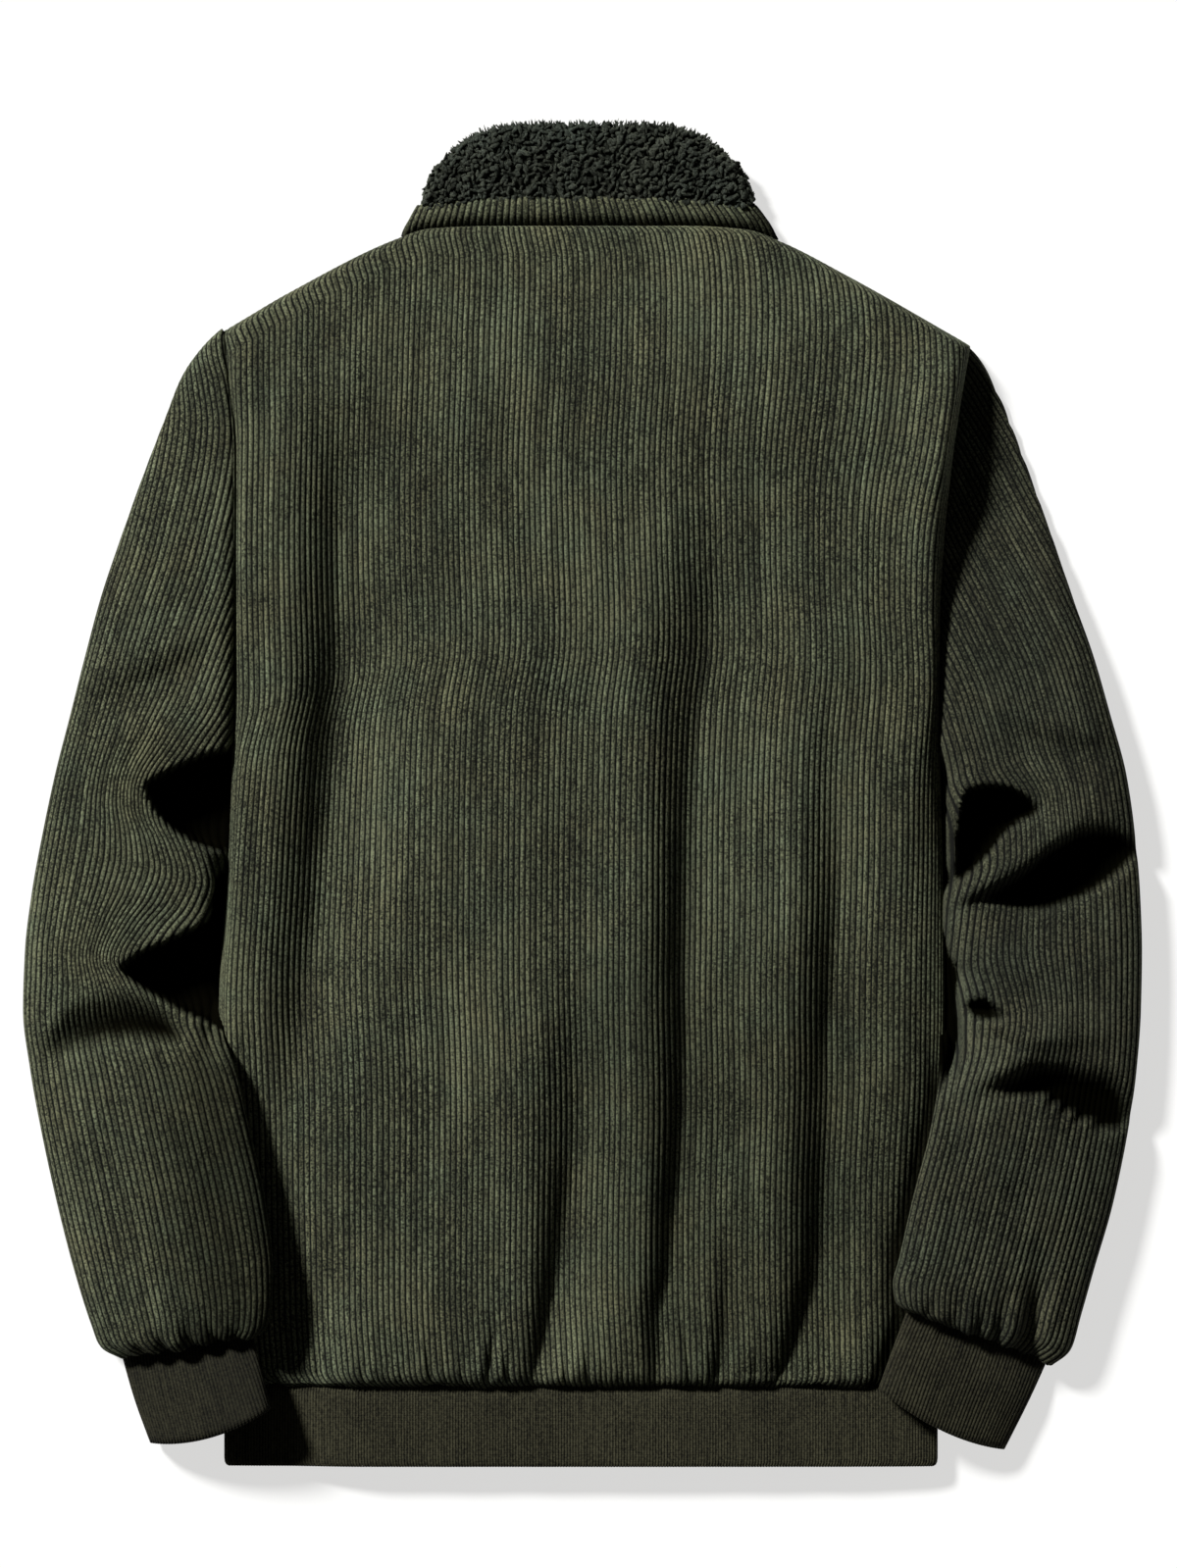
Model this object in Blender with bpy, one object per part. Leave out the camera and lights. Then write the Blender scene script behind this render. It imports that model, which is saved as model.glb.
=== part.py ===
"""Corduroy jacket with a fleece stand collar, laid face down.

Metres, +Z up.  The jacket lies on the plane z = 0 with its back upward, its hem toward -Y and
its collar toward +Y.  Left and right are the wearer's, seen from behind: left is -X.
Every table below is in millimetres.
"""
import math

import bmesh
import bpy
import numpy as np

MM = 0.001

# ---------------------------------------------------------------- driving dimensions (mm)
CLOTH = 2.4            # corduroy with its fleece backing
RIB_CLOTH = 2.6        # doubled rib knit
FLEECE_CLOTH = 3.2     # teddy fleece, with its pile
SEAM = 0.3             # space between two pieces at a seam
CURVED_SEAM = 0.6      # the same along the shoulders and the back of the neck
ARMHOLE_SEAM = 1.1     # the same along the armholes and at the cuffs
FRONT_NECK_SEAM = 1.1  # the same along the deep front neckline
SEAM_TURN = 1.5        # straight strip of cloth beside a side or shoulder seam

CORNER = 0.8           # cut across the back's corners at the shoulders
SIDE_ROLL = 12.0       # how far the back takes to round down at its sides
TOP_ROLL = 11.0        # the same along the shoulders
FRONT_ROLL = 7.0       # how far a front takes to turn up at its edges
ARMHOLE_TURN = 4.0     # height to which a front turns up inside the armhole
ARMPIT = 32.0          # height up the garment where the side seam ends
SEAM_FADE = 20.0       # length over which a front goes from one edge height to another

HEM_Y = -377.0         # lower edge of the hem band
HEM_JOIN = -331.0      # seam between the hem band and the corduroy
HEM_HEIGHT = 20.0
BAND_POWER = 3.5       # squareness of the hem band's section: 2 is an ellipse
COLLAR_POWER = 4.0     # the same for the collar's band
FLEECE_POWER = 5.0     # the same for its fleece
SLEEVE_TOP_POWER = 2.8      # the same for the upper half of a sleeve
SLEEVE_UNDER_POWER = 4.5    # the same for its lower half

PLACKET_HALF = 16.0    # half the width of the placket
PLACKET_THICK = 4.0
FRONT_OVERLAP = 10.0   # how far the right front reaches over the placket
OVERLAP_STEP = 5.0     # how far beside the placket it starts to rise
BUTTONS = 6
BUTTON_RADIUS = 8.0
BUTTON_THICK = 2.2
BUTTON_PITCH = 105.0
FIRST_BUTTON = 40.0    # height of the first button above the hem's edge
BUTTON_LIFT = 0.1      # how far the buttons stand clear of the floor

NECK_HALF = 90.0       # half the width of the neckline
NECK_DROP = 26.0       # how much lower the neckline lies in front
NECK_CURVE = 1.5       # how sharply the front neckline turns down from the shoulders
NECK_FADE = 26.0       # how far beside the neck a front takes to turn up to the shoulder seam
NECK_MIDDLE = 4.0      # x of the middle of the collar
COLLAR_SLIT = 1.0      # half the space between the collar's two front ends

# Sides of the body, and the height of the side seam above the floor at each side.
BODY_SIDES = (
    # y,     left,    right,  seam_left, seam_right
    (-331.0, -201.5, 199.5, 10.0, 10.0),
    (-200.0, -202.5, 200.5, 10.0, 10.0),
    (-120.0, -202.5, 202.5, 10.0, 10.0),
    (-50.0, -196.5, 201.5, 10.0, 10.0),
    (12.0, -195.5, 200.3, 10.0, 10.0),
    (60.0, -195.5, 200.0, 20.0, 12.5),
    (116.0, -195.5, 200.0, 22.0, 13.0),
    (193.0, -195.5, 207.5, 22.0, 10.0),
    (235.0, -199.5, 214.0, 15.0, 8.0),
    (262.0, -201.5, 219.0, 7.0, 7.0),
)

# Upper edge of the back: shoulder slopes, the shallow neckline, and the seam's height there.
TOP_EDGE = (
    # x,      y,     seam
    (-203.0, 259.0, 7.0),
    (-188.0, 268.0, 7.0),
    (-166.0, 281.0, 7.0),
    (-104.0, 312.0, 8.5),
    (-86.0, 317.5, 11.5),
    (-50.0, 319.0, 13.0),
    (60.0, 319.0, 13.0),
    (92.0, 317.0, 11.5),
    (112.0, 310.0, 8.5),
    (147.0, 292.0, 7.0),
    (219.0, 251.0, 7.0),
)

# Height of the middle of the back above the floor.
CROWN = (
    # y,     height
    (-331.0, 20.0),
    (-322.0, 26.0),
    (-290.0, 30.0),
    (-150.0, 32.0),
    (50.0, 32.0),
    (150.0, 31.0),
    (215.0, 29.0),
    (255.0, 24.0),
    (290.0, 18.0),
    (322.0, 14.0),
)

# Long soft folds of the back, each a course down the garment.
BACK_FOLDS = (
    (   # by the right side
        # y,     x,     width, depth
        (40.0, 124.0, 8.0, 0.0),
        (-20.0, 126.0, 9.0, 8.0),
        (-110.0, 130.0, 9.0, 10.0),
        (-220.0, 126.0, 9.0, 10.0),
        (-290.0, 120.0, 8.0, 8.0),
        (-331.0, 106.0, 6.0, 2.0),
    ),
    (   # right of the middle
        (150.0, 55.0, 14.0, 0.0),
        (60.0, 54.0, 14.0, 3.0),
        (-120.0, 50.0, 12.0, 4.0),
        (-331.0, 46.0, 10.0, 2.0),
    ),
    (   # by the left side
        (235.0, -140.0, 16.0, 0.0),
        (120.0, -145.0, 16.0, 2.5),
        (-60.0, -146.0, 16.0, 2.0),
        (-200.0, -146.0, 16.0, 0.0),
    ),
)

# A sleeve is a run of sections from the armhole to the cuff.  Each goes from a point on the
# outer fold of the sleeve to a point on its inner fold; high_* is the top surface there.
LEFT_SECTIONS = (
    # outer_x, outer_y, inner_x, inner_y, high_outer, high_inner
    (-202.0, 253.0, -196.0, 28.0, 20.0, 25.0),
    (-217.0, 246.0, -196.8, 12.0, 24.0, 30.0),
    (-231.5, 215.0, -197.0, -2.0, 27.0, 34.0),
    (-249.0, 168.0, -197.5, -16.0, 29.0, 36.0),
    (-267.0, 117.0, -197.5, -30.0, 31.0, 36.0),
    (-281.5, 66.0, -198.0, -44.0, 33.0, 36.0),
    (-292.5, 20.0, -199.0, -58.0, 34.0, 36.0),
    (-301.5, -18.0, -201.0, -72.0, 34.0, 36.0),
    (-307.0, -52.0, -203.0, -85.0, 34.0, 36.0),
    (-311.5, -86.0, -205.5, -101.0, 34.0, 38.0),
    (-313.0, -121.0, -205.5, -126.0, 33.0, 42.0),
    (-310.0, -148.0, -195.5, -150.0, 32.0, 46.0),
    (-303.0, -186.0, -187.0, -186.0, 32.0, 48.0),
    (-294.0, -228.0, -178.5, -226.0, 32.0, 49.0),
    (-284.0, -267.0, -174.0, -263.0, 32.0, 49.0),
    (-275.0, -296.0, -175.0, -281.0, 32.0, 49.0),
    (-270.0, -308.5, -178.5, -291.5, 30.0, 47.0),
    (-259.0, -315.0, -184.0, -298.5, 25.0, 43.0),
)
RIGHT_SECTIONS = (
    (219.5, 246.0, 200.5, 28.0, 12.0, 20.0),
    (230.0, 235.0, 202.0, 12.0, 15.0, 24.0),
    (242.5, 204.0, 203.0, -2.0, 20.0, 27.0),
    (257.5, 167.0, 204.0, -14.0, 24.0, 29.0),
    (274.0, 119.0, 204.5, -28.0, 27.0, 30.0),
    (289.0, 72.0, 205.5, -42.0, 29.0, 31.0),
    (301.5, 31.0, 205.5, -56.0, 30.0, 32.0),
    (308.0, -10.0, 205.0, -71.0, 30.0, 33.0),
    (311.5, -49.0, 207.0, -88.0, 30.0, 33.0),
    (313.0, -85.0, 210.5, -105.0, 30.0, 34.0),
    (312.5, -120.0, 209.5, -128.0, 30.0, 38.0),
    (310.5, -153.0, 202.5, -156.0, 30.0, 43.0),
    (305.5, -186.0, 195.5, -187.0, 30.0, 46.0),
    (296.5, -230.0, 185.5, -226.0, 30.0, 47.0),
    (286.5, -264.5, 178.0, -261.0, 30.0, 47.0),
    (278.5, -291.0, 175.5, -277.0, 30.0, 47.0),
    (271.0, -311.0, 177.0, -285.5, 28.0, 45.0),
    (261.0, -319.0, 183.0, -291.0, 24.0, 41.0),
)

# Pits where the elbow is folded: a wedge that opens from its tip toward its mouth.
PITS = (
    # tip_x, tip_y, mouth_x, mouth_y, half_mouth, depth
    (-247.0, 0.5, -196.0, -2.0, 29.0, 27.0),
    (-260.0, -97.0, -202.0, -103.0, 29.0, 28.0),
    (256.0, -8.0, 212.0, -30.0, 22.0, 14.0),
)
PIT_WALL = 9.0         # how far the side of a pit takes to go down

# Folds with a steep side under a crest and a slow climb beyond it.
CRESTS = (
    # from_x, from_y, to_x, to_y, steep, slow, depth
    (214.0, -62.0, 318.0, -20.0, 9.0, 46.0, 16.0),
    (218.0, -166.0, 312.0, -160.0, 9.0, 34.0, 10.0),
    (-232.0, -128.0, -297.0, -146.0, 8.0, 22.0, 4.0),
)
CREST_FADE = 12.0      # how far a fold takes to die out at its ends

# Where each sleeve climbs onto the body: height up the garment, and the length of the climb.
CLIMB = {"left": (-112.0, 22.0), "right": (-128.0, 24.0)}
OVER_BODY = (
    # y,     underside of the sleeve or cuff
    (-377.0, 23.0),
    (-331.0, 26.5),
    (-290.0, 32.5),
    (-150.0, 34.5),
    (150.0, 34.5),
)
CLIMB_OUT = 26.0       # how far outside the body's edge a sleeve starts to lift off the floor
CLIMB_IN = 4.0         # how far inside that edge it has its full height
THINNEST = 8.0         # least height of a flattened tube

# Cuffs: the section at the middle and at the open end.
LEFT_CUFF = (
    # outer_x, outer_y, inner_x, inner_y, high_outer, high_inner
    (-249.5, -340.0, -179.5, -322.0, 21.0, 42.0),
    (-240.5, -362.0, -175.5, -344.0, 18.0, 42.0),
)
RIGHT_CUFF = (
    (249.0, -343.5, 174.5, -313.0, 20.0, 41.0),
    (237.0, -367.0, 166.0, -334.0, 17.0, 41.0),
)
CUFF_BOW = 6.0         # how far the open end of a cuff curves out in the middle

# Stand band and fleece collar, from the neck seam (0) to the upper edge (1).
BAND = (
    # along, left,  right, height
    (0.0, -101.0, 108.5, 13.6),
    (0.4, -99.0, 105.5, 18.0),
    (1.0, -94.5, 99.0, 18.0),
)
BAND_TOP, BAND_TOP_END = 335.5, 331.0
FLEECE = (
    # along, left,  right, height, floor
    (0.0, -82.0, 86.0, 11.8, 3.6),
    (0.25, -82.0, 86.0, 13.2, 3.6),
    (0.45, -89.0, 93.6, 18.0, 0.6),
    (0.65, -86.5, 91.5, 19.0, 0.0),
    (0.85, -82.5, 87.5, 18.5, 0.0),
    (1.0, -80.0, 85.0, 16.4, 0.3),
)
FLEECE_FOOT, FLEECE_TOP, FLEECE_TOP_END = 323.0, 377.0, 360.0

# Colour, roughness and metallic value of each material.
MATERIALS = {
    "corduroy": ((0.055, 0.062, 0.040), 0.95, 0.0),
    "rib_knit": ((0.032, 0.029, 0.018), 0.9, 0.0),
    "fleece": ((0.022, 0.027, 0.021), 1.0, 0.0),
    "button": ((0.018, 0.017, 0.013), 0.4, 0.0),
}


# ---------------------------------------------------------------- reading the tables
def follow(rows, at):
    """The later columns of a table at `at` in its first column, on a smooth curve.

    The curve passes through every row and never swings past two rows that follow each other.
    """
    table = np.array(rows, dtype=float)
    if table[0, 0] > table[-1, 0]:
        table = table[::-1]
    keys, values = table[:, 0], table[:, 1:]
    at = min(max(at, keys[0]), keys[-1])
    steps = np.diff(keys)
    rises = np.diff(values, axis=0) / steps[:, None]
    slopes = np.zeros_like(values)
    before, after = rises[:-1], rises[1:]
    same_way = before * after > 0
    total = np.where(same_way, before + after, 1.0)
    slopes[1:-1] = np.where(same_way, 2 * before * after / total, 0.0)
    slopes[0], slopes[-1] = rises[0], rises[-1]
    i = min(int(np.searchsorted(keys, at, side="right")) - 1, len(keys) - 2)
    step = steps[i]
    t = (at - keys[i]) / step
    return (values[i] * (1 + 2 * t) * (1 - t) ** 2 + slopes[i] * step * t * (1 - t) ** 2
            + values[i + 1] * t * t * (3 - 2 * t) - slopes[i + 1] * step * t * t * (1 - t))


def ease(t):
    """0 below 0, 1 above 1, smooth between."""
    t = min(max(t, 0.0), 1.0)
    return t * t * (3 - 2 * t)


def rounded(distance, radius):
    """Quarter round: 0 at the edge, 1 once `distance` has passed `radius`."""
    t = min(max(distance / radius, 0.0), 1.0)
    return math.sqrt(1 - (1 - t) ** 2)


def bulge(across, power):
    """Section of a flattened tube: 0 at its two folds, 1 in the middle."""
    return (1 - abs(2 * across - 1) ** power) ** (1 / power)


def spaced(low, high, count):
    return [low + (high - low) * i / (count - 1) for i in range(count)]


def roll_steps(radius, count):
    """Distances in from a rounded edge, close together at the edge."""
    return [radius * (1 - math.cos(math.pi / 2 * i / count)) for i in range(count)]


# ---------------------------------------------------------------- making a piece of cloth
def cloth(name, columns, rows, place, thickness, joined=False, flip=False):
    """A grid of cloth laid on `place(column, row)` and given its thickness on the inside.

    With `joined`, the last column lies on the first and the grid becomes a tube.
    """
    bm = bmesh.new()
    bmesh.ops.create_grid(bm, x_segments=len(columns) - 1, y_segments=len(rows) - 1, size=1.0)
    for vert in bm.verts:
        i = round((vert.co.x + 1) / 2 * (len(columns) - 1))
        j = round((vert.co.y + 1) / 2 * (len(rows) - 1))
        vert.co = [value * MM for value in place(columns[i], rows[j])]
    if joined:
        bmesh.ops.remove_doubles(bm, verts=bm.verts, dist=1e-6)
    if flip:
        bmesh.ops.reverse_faces(bm, faces=bm.faces)
    mesh = bpy.data.meshes.new(name)
    bm.to_mesh(mesh)
    bm.free()
    mesh.shade_smooth()
    piece = bpy.data.objects.new(name, mesh)
    bpy.context.scene.collection.objects.link(piece)
    wall = piece.modifiers.new("thickness", "SOLIDIFY")
    wall.thickness = thickness * MM
    wall.offset = -1.0
    wall.use_even_offset = False
    triangles = piece.modifiers.new("triangles", "TRIANGULATE")
    triangles.quad_method = "BEAUTY"
    return piece


def material(name):
    """The material called `name`, made on first use."""
    if name in bpy.data.materials:
        return bpy.data.materials[name]
    colour, roughness, metallic = MATERIALS[name]
    made = bpy.data.materials.new(name)
    made.use_nodes = True
    shader = made.node_tree.nodes["Principled BSDF"]
    shader.inputs["Base Color"].default_value = (*colour, 1.0)
    shader.inputs["Roughness"].default_value = roughness
    shader.inputs["Metallic"].default_value = metallic
    return made


def finish(piece, name):
    piece.data.materials.append(material(name))
    return piece


# ---------------------------------------------------------------- the back
def body_left(y):
    return follow(BODY_SIDES, y)[0]


def body_right(y):
    return follow(BODY_SIDES, y)[1]


def back_folds(x, y):
    """How far the folds of the back pull its surface down at a point."""
    drop = 0.0
    for rows in BACK_FOLDS:
        if rows[-1][0] <= y <= rows[0][0]:
            course, width, depth = follow(rows, y)
            drop += depth * math.exp(-((x - course) / width) ** 2)
    return drop


def back_height(x, y):
    """Upper surface of the back."""
    left, right, seam_left, seam_right = follow(BODY_SIDES, y)
    top, seam_top = follow(TOP_EDGE, x)
    across = min(abs(2 * x - left - right) / (right - left), 1.0)
    body = follow(CROWN, y)[0] * (1 - 0.06 * across ** 2) - back_folds(x, y)
    side = rounded(min(x - left, right - x), SIDE_ROLL)
    shoulder = rounded(top - y, TOP_ROLL)
    seam = seam_left if 2 * x < left + right else seam_right
    edge = seam_top + (seam - seam_top) * (1 - side)
    return edge + SEAM_TURN + max(body - edge - SEAM_TURN, 0.0) * side * shoulder


def row_end(row, roll, edge_of):
    """Where a row meets the side of the body whose x is `edge_of(y)`."""
    y = HEM_JOIN + row[0] * (TOP_EDGE[0][1] - HEM_JOIN)
    for _ in range(4):
        x = edge_of(y)
        top = follow(TOP_EDGE, x)[0]
        y = row_height(row, roll, top)
    return x


def row_height(row, roll, top):
    """Height up the garment of a row under a point of the upper edge.

    A row is (fraction of the flat height, distance down from the upper edge or None).
    """
    height, from_top = row
    if from_top is not None:
        return top - from_top
    return HEM_JOIN + height * (top - roll - HEM_JOIN)


def back_point(column, row):
    """Place on the back's outline: a column runs up the garment, a row runs across it.

    A column is (distance from the left side, distance from the right side, fraction of the
    width between the two rolls), of which one is a number and the others are None.
    """
    from_left, from_right, across = column
    left = row_end(row, TOP_ROLL, body_left)
    right = row_end(row, TOP_ROLL, body_right)
    if from_left is not None:
        x = left + from_left
    elif from_right is not None:
        x = right - from_right
    else:
        x = left + SIDE_ROLL + across * (right - left - 2 * SIDE_ROLL)
    return x, row_height(row, TOP_ROLL, follow(TOP_EDGE, x)[0])


def make_back():
    """One piece from shoulder to hem, rolled down at its sides to the side seams."""
    rolls = roll_steps(SIDE_ROLL, 3)
    columns = [("seam", (0.0, None, None))]
    columns += [("", (step, None, None)) for step in rolls]
    columns += [("", (None, None, across)) for across in spaced(0.0, 1.0, 19)]
    columns += [("", (None, step, None)) for step in reversed(rolls)]
    columns += [("seam", (None, 0.0, None))]
    rows = [("", (height, None)) for height in (0.0, 0.012, 0.03)]
    rows += [("", (height, None)) for height in spaced(0.07, 1.0, 13)]
    rows += [("", (1.0, step)) for step in reversed(roll_steps(TOP_ROLL, 3))]
    rows += [("seam", (1.0, 0.0))]

    def place(column, row):
        x, y = back_point(column[1], row[1])
        z = back_height(x, y)
        if "seam" in (column[0], row[0]):
            z -= SEAM_TURN
        from_left, from_right, _ = column[1]
        if row[1][1] == 0.0 and (from_left == 0.0 or from_right == 0.0):
            if column[0] != "seam":
                x += CORNER if from_right is None else -CORNER
            if row[0] != "seam":
                y -= CORNER
        return x, y, z

    finish(cloth("back", columns, rows, place, CLOTH), "corduroy")


# ---------------------------------------------------------------- the fronts and the placket
def neckline(x):
    """Lower neckline of the fronts, above the placket."""
    away = min(abs(x - NECK_MIDDLE) / NECK_HALF, 1.0)
    return follow(TOP_EDGE, x)[0] - NECK_DROP * (1 - away ** 2) ** NECK_CURVE


def front_place(side, start):
    """Placing function of one front, which lies flat and turns up to the back at its edges."""
    sign, edge_of, seam_column = (-1, body_left, 2) if side == "left" else (1, body_right, 3)

    def place(column, row):
        kind, amount = column
        line, at_seam = row
        edge = row_end(line, FRONT_ROLL, edge_of)
        if kind == "middle":
            x = amount
        elif kind == "across":
            x = start + amount * (edge - sign * FRONT_ROLL - start)
        else:
            x = edge - sign * amount
        top = neckline(x)
        past_neck = ease((abs(x - NECK_MIDDLE) - NECK_HALF) / NECK_FADE)
        y = row_height(line, FRONT_ROLL, top)
        if line[1] is not None and not at_seam:
            y -= SEAM_TURN * (1 - past_neck)
        side_seam = follow(BODY_SIDES, y)[seam_column] - SEAM
        side_top = ARMHOLE_TURN + (side_seam - ARMHOLE_TURN) * ease((ARMPIT - y) / SEAM_FADE)
        shoulder_top = (follow(TOP_EDGE, x)[1] - CURVED_SEAM) * past_neck
        shoulder_top -= (shoulder_top - side_top) * (1 - ease(abs(edge - x) / SEAM_FADE))
        up_side = 1 - rounded(sign * (edge - x), FRONT_ROLL)
        up_top = 1 - rounded(top - y, FRONT_ROLL)
        z = max((side_top - SEAM_TURN) * up_side, (shoulder_top - SEAM_TURN) * up_top, 0.0)
        if kind == "seam":
            z = max(z, side_top)
        if at_seam:
            z = max(z, shoulder_top)
        if line == (1.0, 0.0) and kind in ("roll", "seam") and amount == 0.0:
            if kind == "roll":
                x -= sign * CORNER
            if not at_seam:
                y -= CORNER
        if kind == "middle" and sign > 0:
            lift = ease((PLACKET_HALF + OVERLAP_STEP - x) / (OVERLAP_STEP - SEAM))
            z = max(z, (PLACKET_THICK + SEAM) * lift)
        return x, y, z

    return place


def make_fronts():
    """Two fronts on the floor; the right one reaches over the placket, as a shirt's does."""
    rows = [((height, None), False) for height in (0.0, 0.03)]
    rows += [((height, None), False) for height in spaced(0.12, 1.0, 8)]
    rows += [((1.0, step), False) for step in reversed(roll_steps(FRONT_ROLL, 3))]
    rows += [((1.0, 0.0), True)]
    starts = {
        "left": (-PLACKET_HALF - SEAM,),
        "right": (PLACKET_HALF - FRONT_OVERLAP, PLACKET_HALF + SEAM,
                  PLACKET_HALF + OVERLAP_STEP / 2, PLACKET_HALF + OVERLAP_STEP),
    }
    for side, start in starts.items():
        columns = [("middle", x) for x in start]
        columns += [("across", across) for across in spaced(0.15, 1.0, 6)]
        columns += [("roll", step) for step in reversed(roll_steps(FRONT_ROLL, 3))]
        columns += [("seam", 0.0)]
        place = front_place(side, start[-1])
        flip = side == "right"
        finish(cloth("front_" + side, columns, rows, place, CLOTH, flip=flip), "corduroy")


def make_placket():
    """Doubled strip down the centre front, with a shallow pocket round each button."""
    bm = bmesh.new()
    bmesh.ops.create_cube(bm, size=1.0)
    high = neckline(0.0) - SEAM
    for vert in bm.verts:
        vert.co.x *= 2 * PLACKET_HALF * MM
        vert.co.y = (HEM_Y if vert.co.y < 0 else high) * MM
        vert.co.z = (0.0 if vert.co.z < 0 else PLACKET_THICK) * MM
    mesh = bpy.data.meshes.new("placket")
    bm.to_mesh(mesh)
    bm.free()
    placket = bpy.data.objects.new("placket", mesh)
    bpy.context.scene.collection.objects.link(placket)
    for k in range(BUTTONS):
        y = HEM_Y + FIRST_BUTTON + k * BUTTON_PITCH
        top = BUTTON_LIFT + BUTTON_THICK
        cutter = disc("pocket_%d" % (k + 1), y, BUTTON_RADIUS + SEAM, -SEAM, top + SEAM)
        cutter.hide_render = True
        cutter.display_type = "WIRE"
        cut = placket.modifiers.new("pocket", "BOOLEAN")
        cut.operation = "DIFFERENCE"
        cut.object = cutter
        button = disc("button_%d" % (k + 1), y, BUTTON_RADIUS, BUTTON_LIFT, top)
        finish(button, "button")
    finish(placket, "corduroy")


def disc(name, y, radius, low, high):
    """A plain disc on the centre front, its axis along Z."""
    bm = bmesh.new()
    bmesh.ops.create_cone(bm, cap_ends=True, segments=14, radius1=radius * MM,
                          radius2=radius * MM, depth=(high - low) * MM)
    bmesh.ops.translate(bm, verts=bm.verts, vec=(0.0, y * MM, (low + high) / 2 * MM))
    mesh = bpy.data.meshes.new(name)
    bm.to_mesh(mesh)
    bm.free()
    piece = bpy.data.objects.new(name, mesh)
    bpy.context.scene.collection.objects.link(piece)
    return piece


# ---------------------------------------------------------------- the sleeves and the cuffs
def pits(x, y):
    """How far the folded elbow's pits go down at a point."""
    drop = 0.0
    for tip_x, tip_y, mouth_x, mouth_y, half_mouth, depth in PITS:
        if x * tip_x < 0:
            continue
        length = math.hypot(mouth_x - tip_x, mouth_y - tip_y)
        along_x, along_y = (mouth_x - tip_x) / length, (mouth_y - tip_y) / length
        along = (x - tip_x) * along_x + (y - tip_y) * along_y
        aside = abs((y - tip_y) * along_x - (x - tip_x) * along_y)
        half = half_mouth * max(along, 0.0) / length
        drop = max(drop, depth * ease((half - aside) / PIT_WALL))
    return drop


def crests(x, y):
    """How far the one-sided folds go down at a point."""
    drop = 0.0
    for from_x, from_y, to_x, to_y, steep, slow, depth in CRESTS:
        if x * from_x < 0:
            continue
        length = math.hypot(to_x - from_x, to_y - from_y)
        along_x, along_y = (to_x - from_x) / length, (to_y - from_y) / length
        along = (x - from_x) * along_x + (y - from_y) * along_y
        below = (x - from_x) * along_y - (y - from_y) * along_x
        if from_x < 0:
            below = -below
        ends = ease(along / CREST_FADE) * ease((length - along) / CREST_FADE)
        drop = max(drop, depth * ends * ease(below / steep) * (1 - ease((below - steep) / slow)))
    return drop


def underside(side, x, y):
    """Lower surface of a sleeve: the floor, or just above the body where it lies on it."""
    left, right = follow(BODY_SIDES, y)[:2]
    inside = x - left if side == "left" else right - x
    start, length = CLIMB[side]
    over = ease((start - y) / length) * ease((inside + CLIMB_OUT) / (CLIMB_OUT + CLIMB_IN))
    return follow(OVER_BODY, y)[0] * over


def tube_point(side, section, turn, bow=0.0):
    """A point on a flattened tube: `turn` runs over the top and back underneath.

    `section` holds the outer point, the inner point and the two top heights.
    """
    outer_x, outer_y, inner_x, inner_y, high_outer, high_inner = section
    on_top = turn <= 0.5
    swing = 2 * turn if on_top else 2 - 2 * turn
    across = (1 - math.cos(math.pi * swing)) / 2
    x = outer_x + (inner_x - outer_x) * across
    y = outer_y + (inner_y - outer_y) * across - bow * 4 * across * (1 - across)
    low = underside(side, x, y)
    high = high_outer + (high_inner - high_outer) * across - pits(x, y) - crests(x, y)
    high = max(high, low + THINNEST)
    middle, half = (high + low) / 2, (high - low) / 2
    if on_top:
        return x, y, middle + half * bulge(across, SLEEVE_TOP_POWER)
    return x, y, middle - half * bulge(across, SLEEVE_UNDER_POWER)


SLEEVE_TURNS = spaced(0.0, 0.5, 15) + spaced(0.5, 1.0, 10)[1:]


def make_sleeve(side, sections):
    """A tube from the armhole to the cuff."""
    keyed = [(k, *section) for k, section in enumerate(sections)]
    edge = -1 if side == "left" else 1

    def place(turn, along):
        section = follow(keyed, along)
        x, y, z = tube_point(side, section, turn)
        body_edge = follow(BODY_SIDES, y)[0 if side == "left" else 1] + edge * ARMHOLE_SEAM
        x += (body_edge - x) * max(1 - along, 0.0) ** 2
        return x, y, z

    rows = spaced(0.0, len(sections) - 3.0, 17) + [len(sections) - 2.0, len(sections) - 1.0]
    piece = cloth("sleeve_" + side, SLEEVE_TURNS, rows, place, CLOTH, joined=True, flip=edge < 0)
    finish(piece, "corduroy")


def make_cuff(side, sleeve_end, sections):
    """A short rib tube that starts a seam's width below the sleeve's end."""
    down = np.array(sections[0][:2]) - np.array(sleeve_end[:2])
    gap_x, gap_y = down / np.linalg.norm(down) * ARMHOLE_SEAM
    keyed = [(k, *section) for k, section in enumerate((sleeve_end, *sections))]

    def place(turn, along):
        bow = CUFF_BOW * (along / 2) ** 2
        x, y, z = tube_point(side, follow(keyed, along), turn, bow)
        return x + gap_x, y + gap_y, z

    piece = cloth("cuff_" + side, SLEEVE_TURNS, spaced(0.0, 2.0, 4), place, RIB_CLOTH,
                  joined=True, flip=side == "left")
    finish(piece, "rib_knit")


# ---------------------------------------------------------------- hem band and collar
RING_TURNS = spaced(0.0, 0.25, 6) + spaced(0.25, 0.75, 17)[1:] + spaced(0.75, 1.0, 6)[1:]


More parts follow.
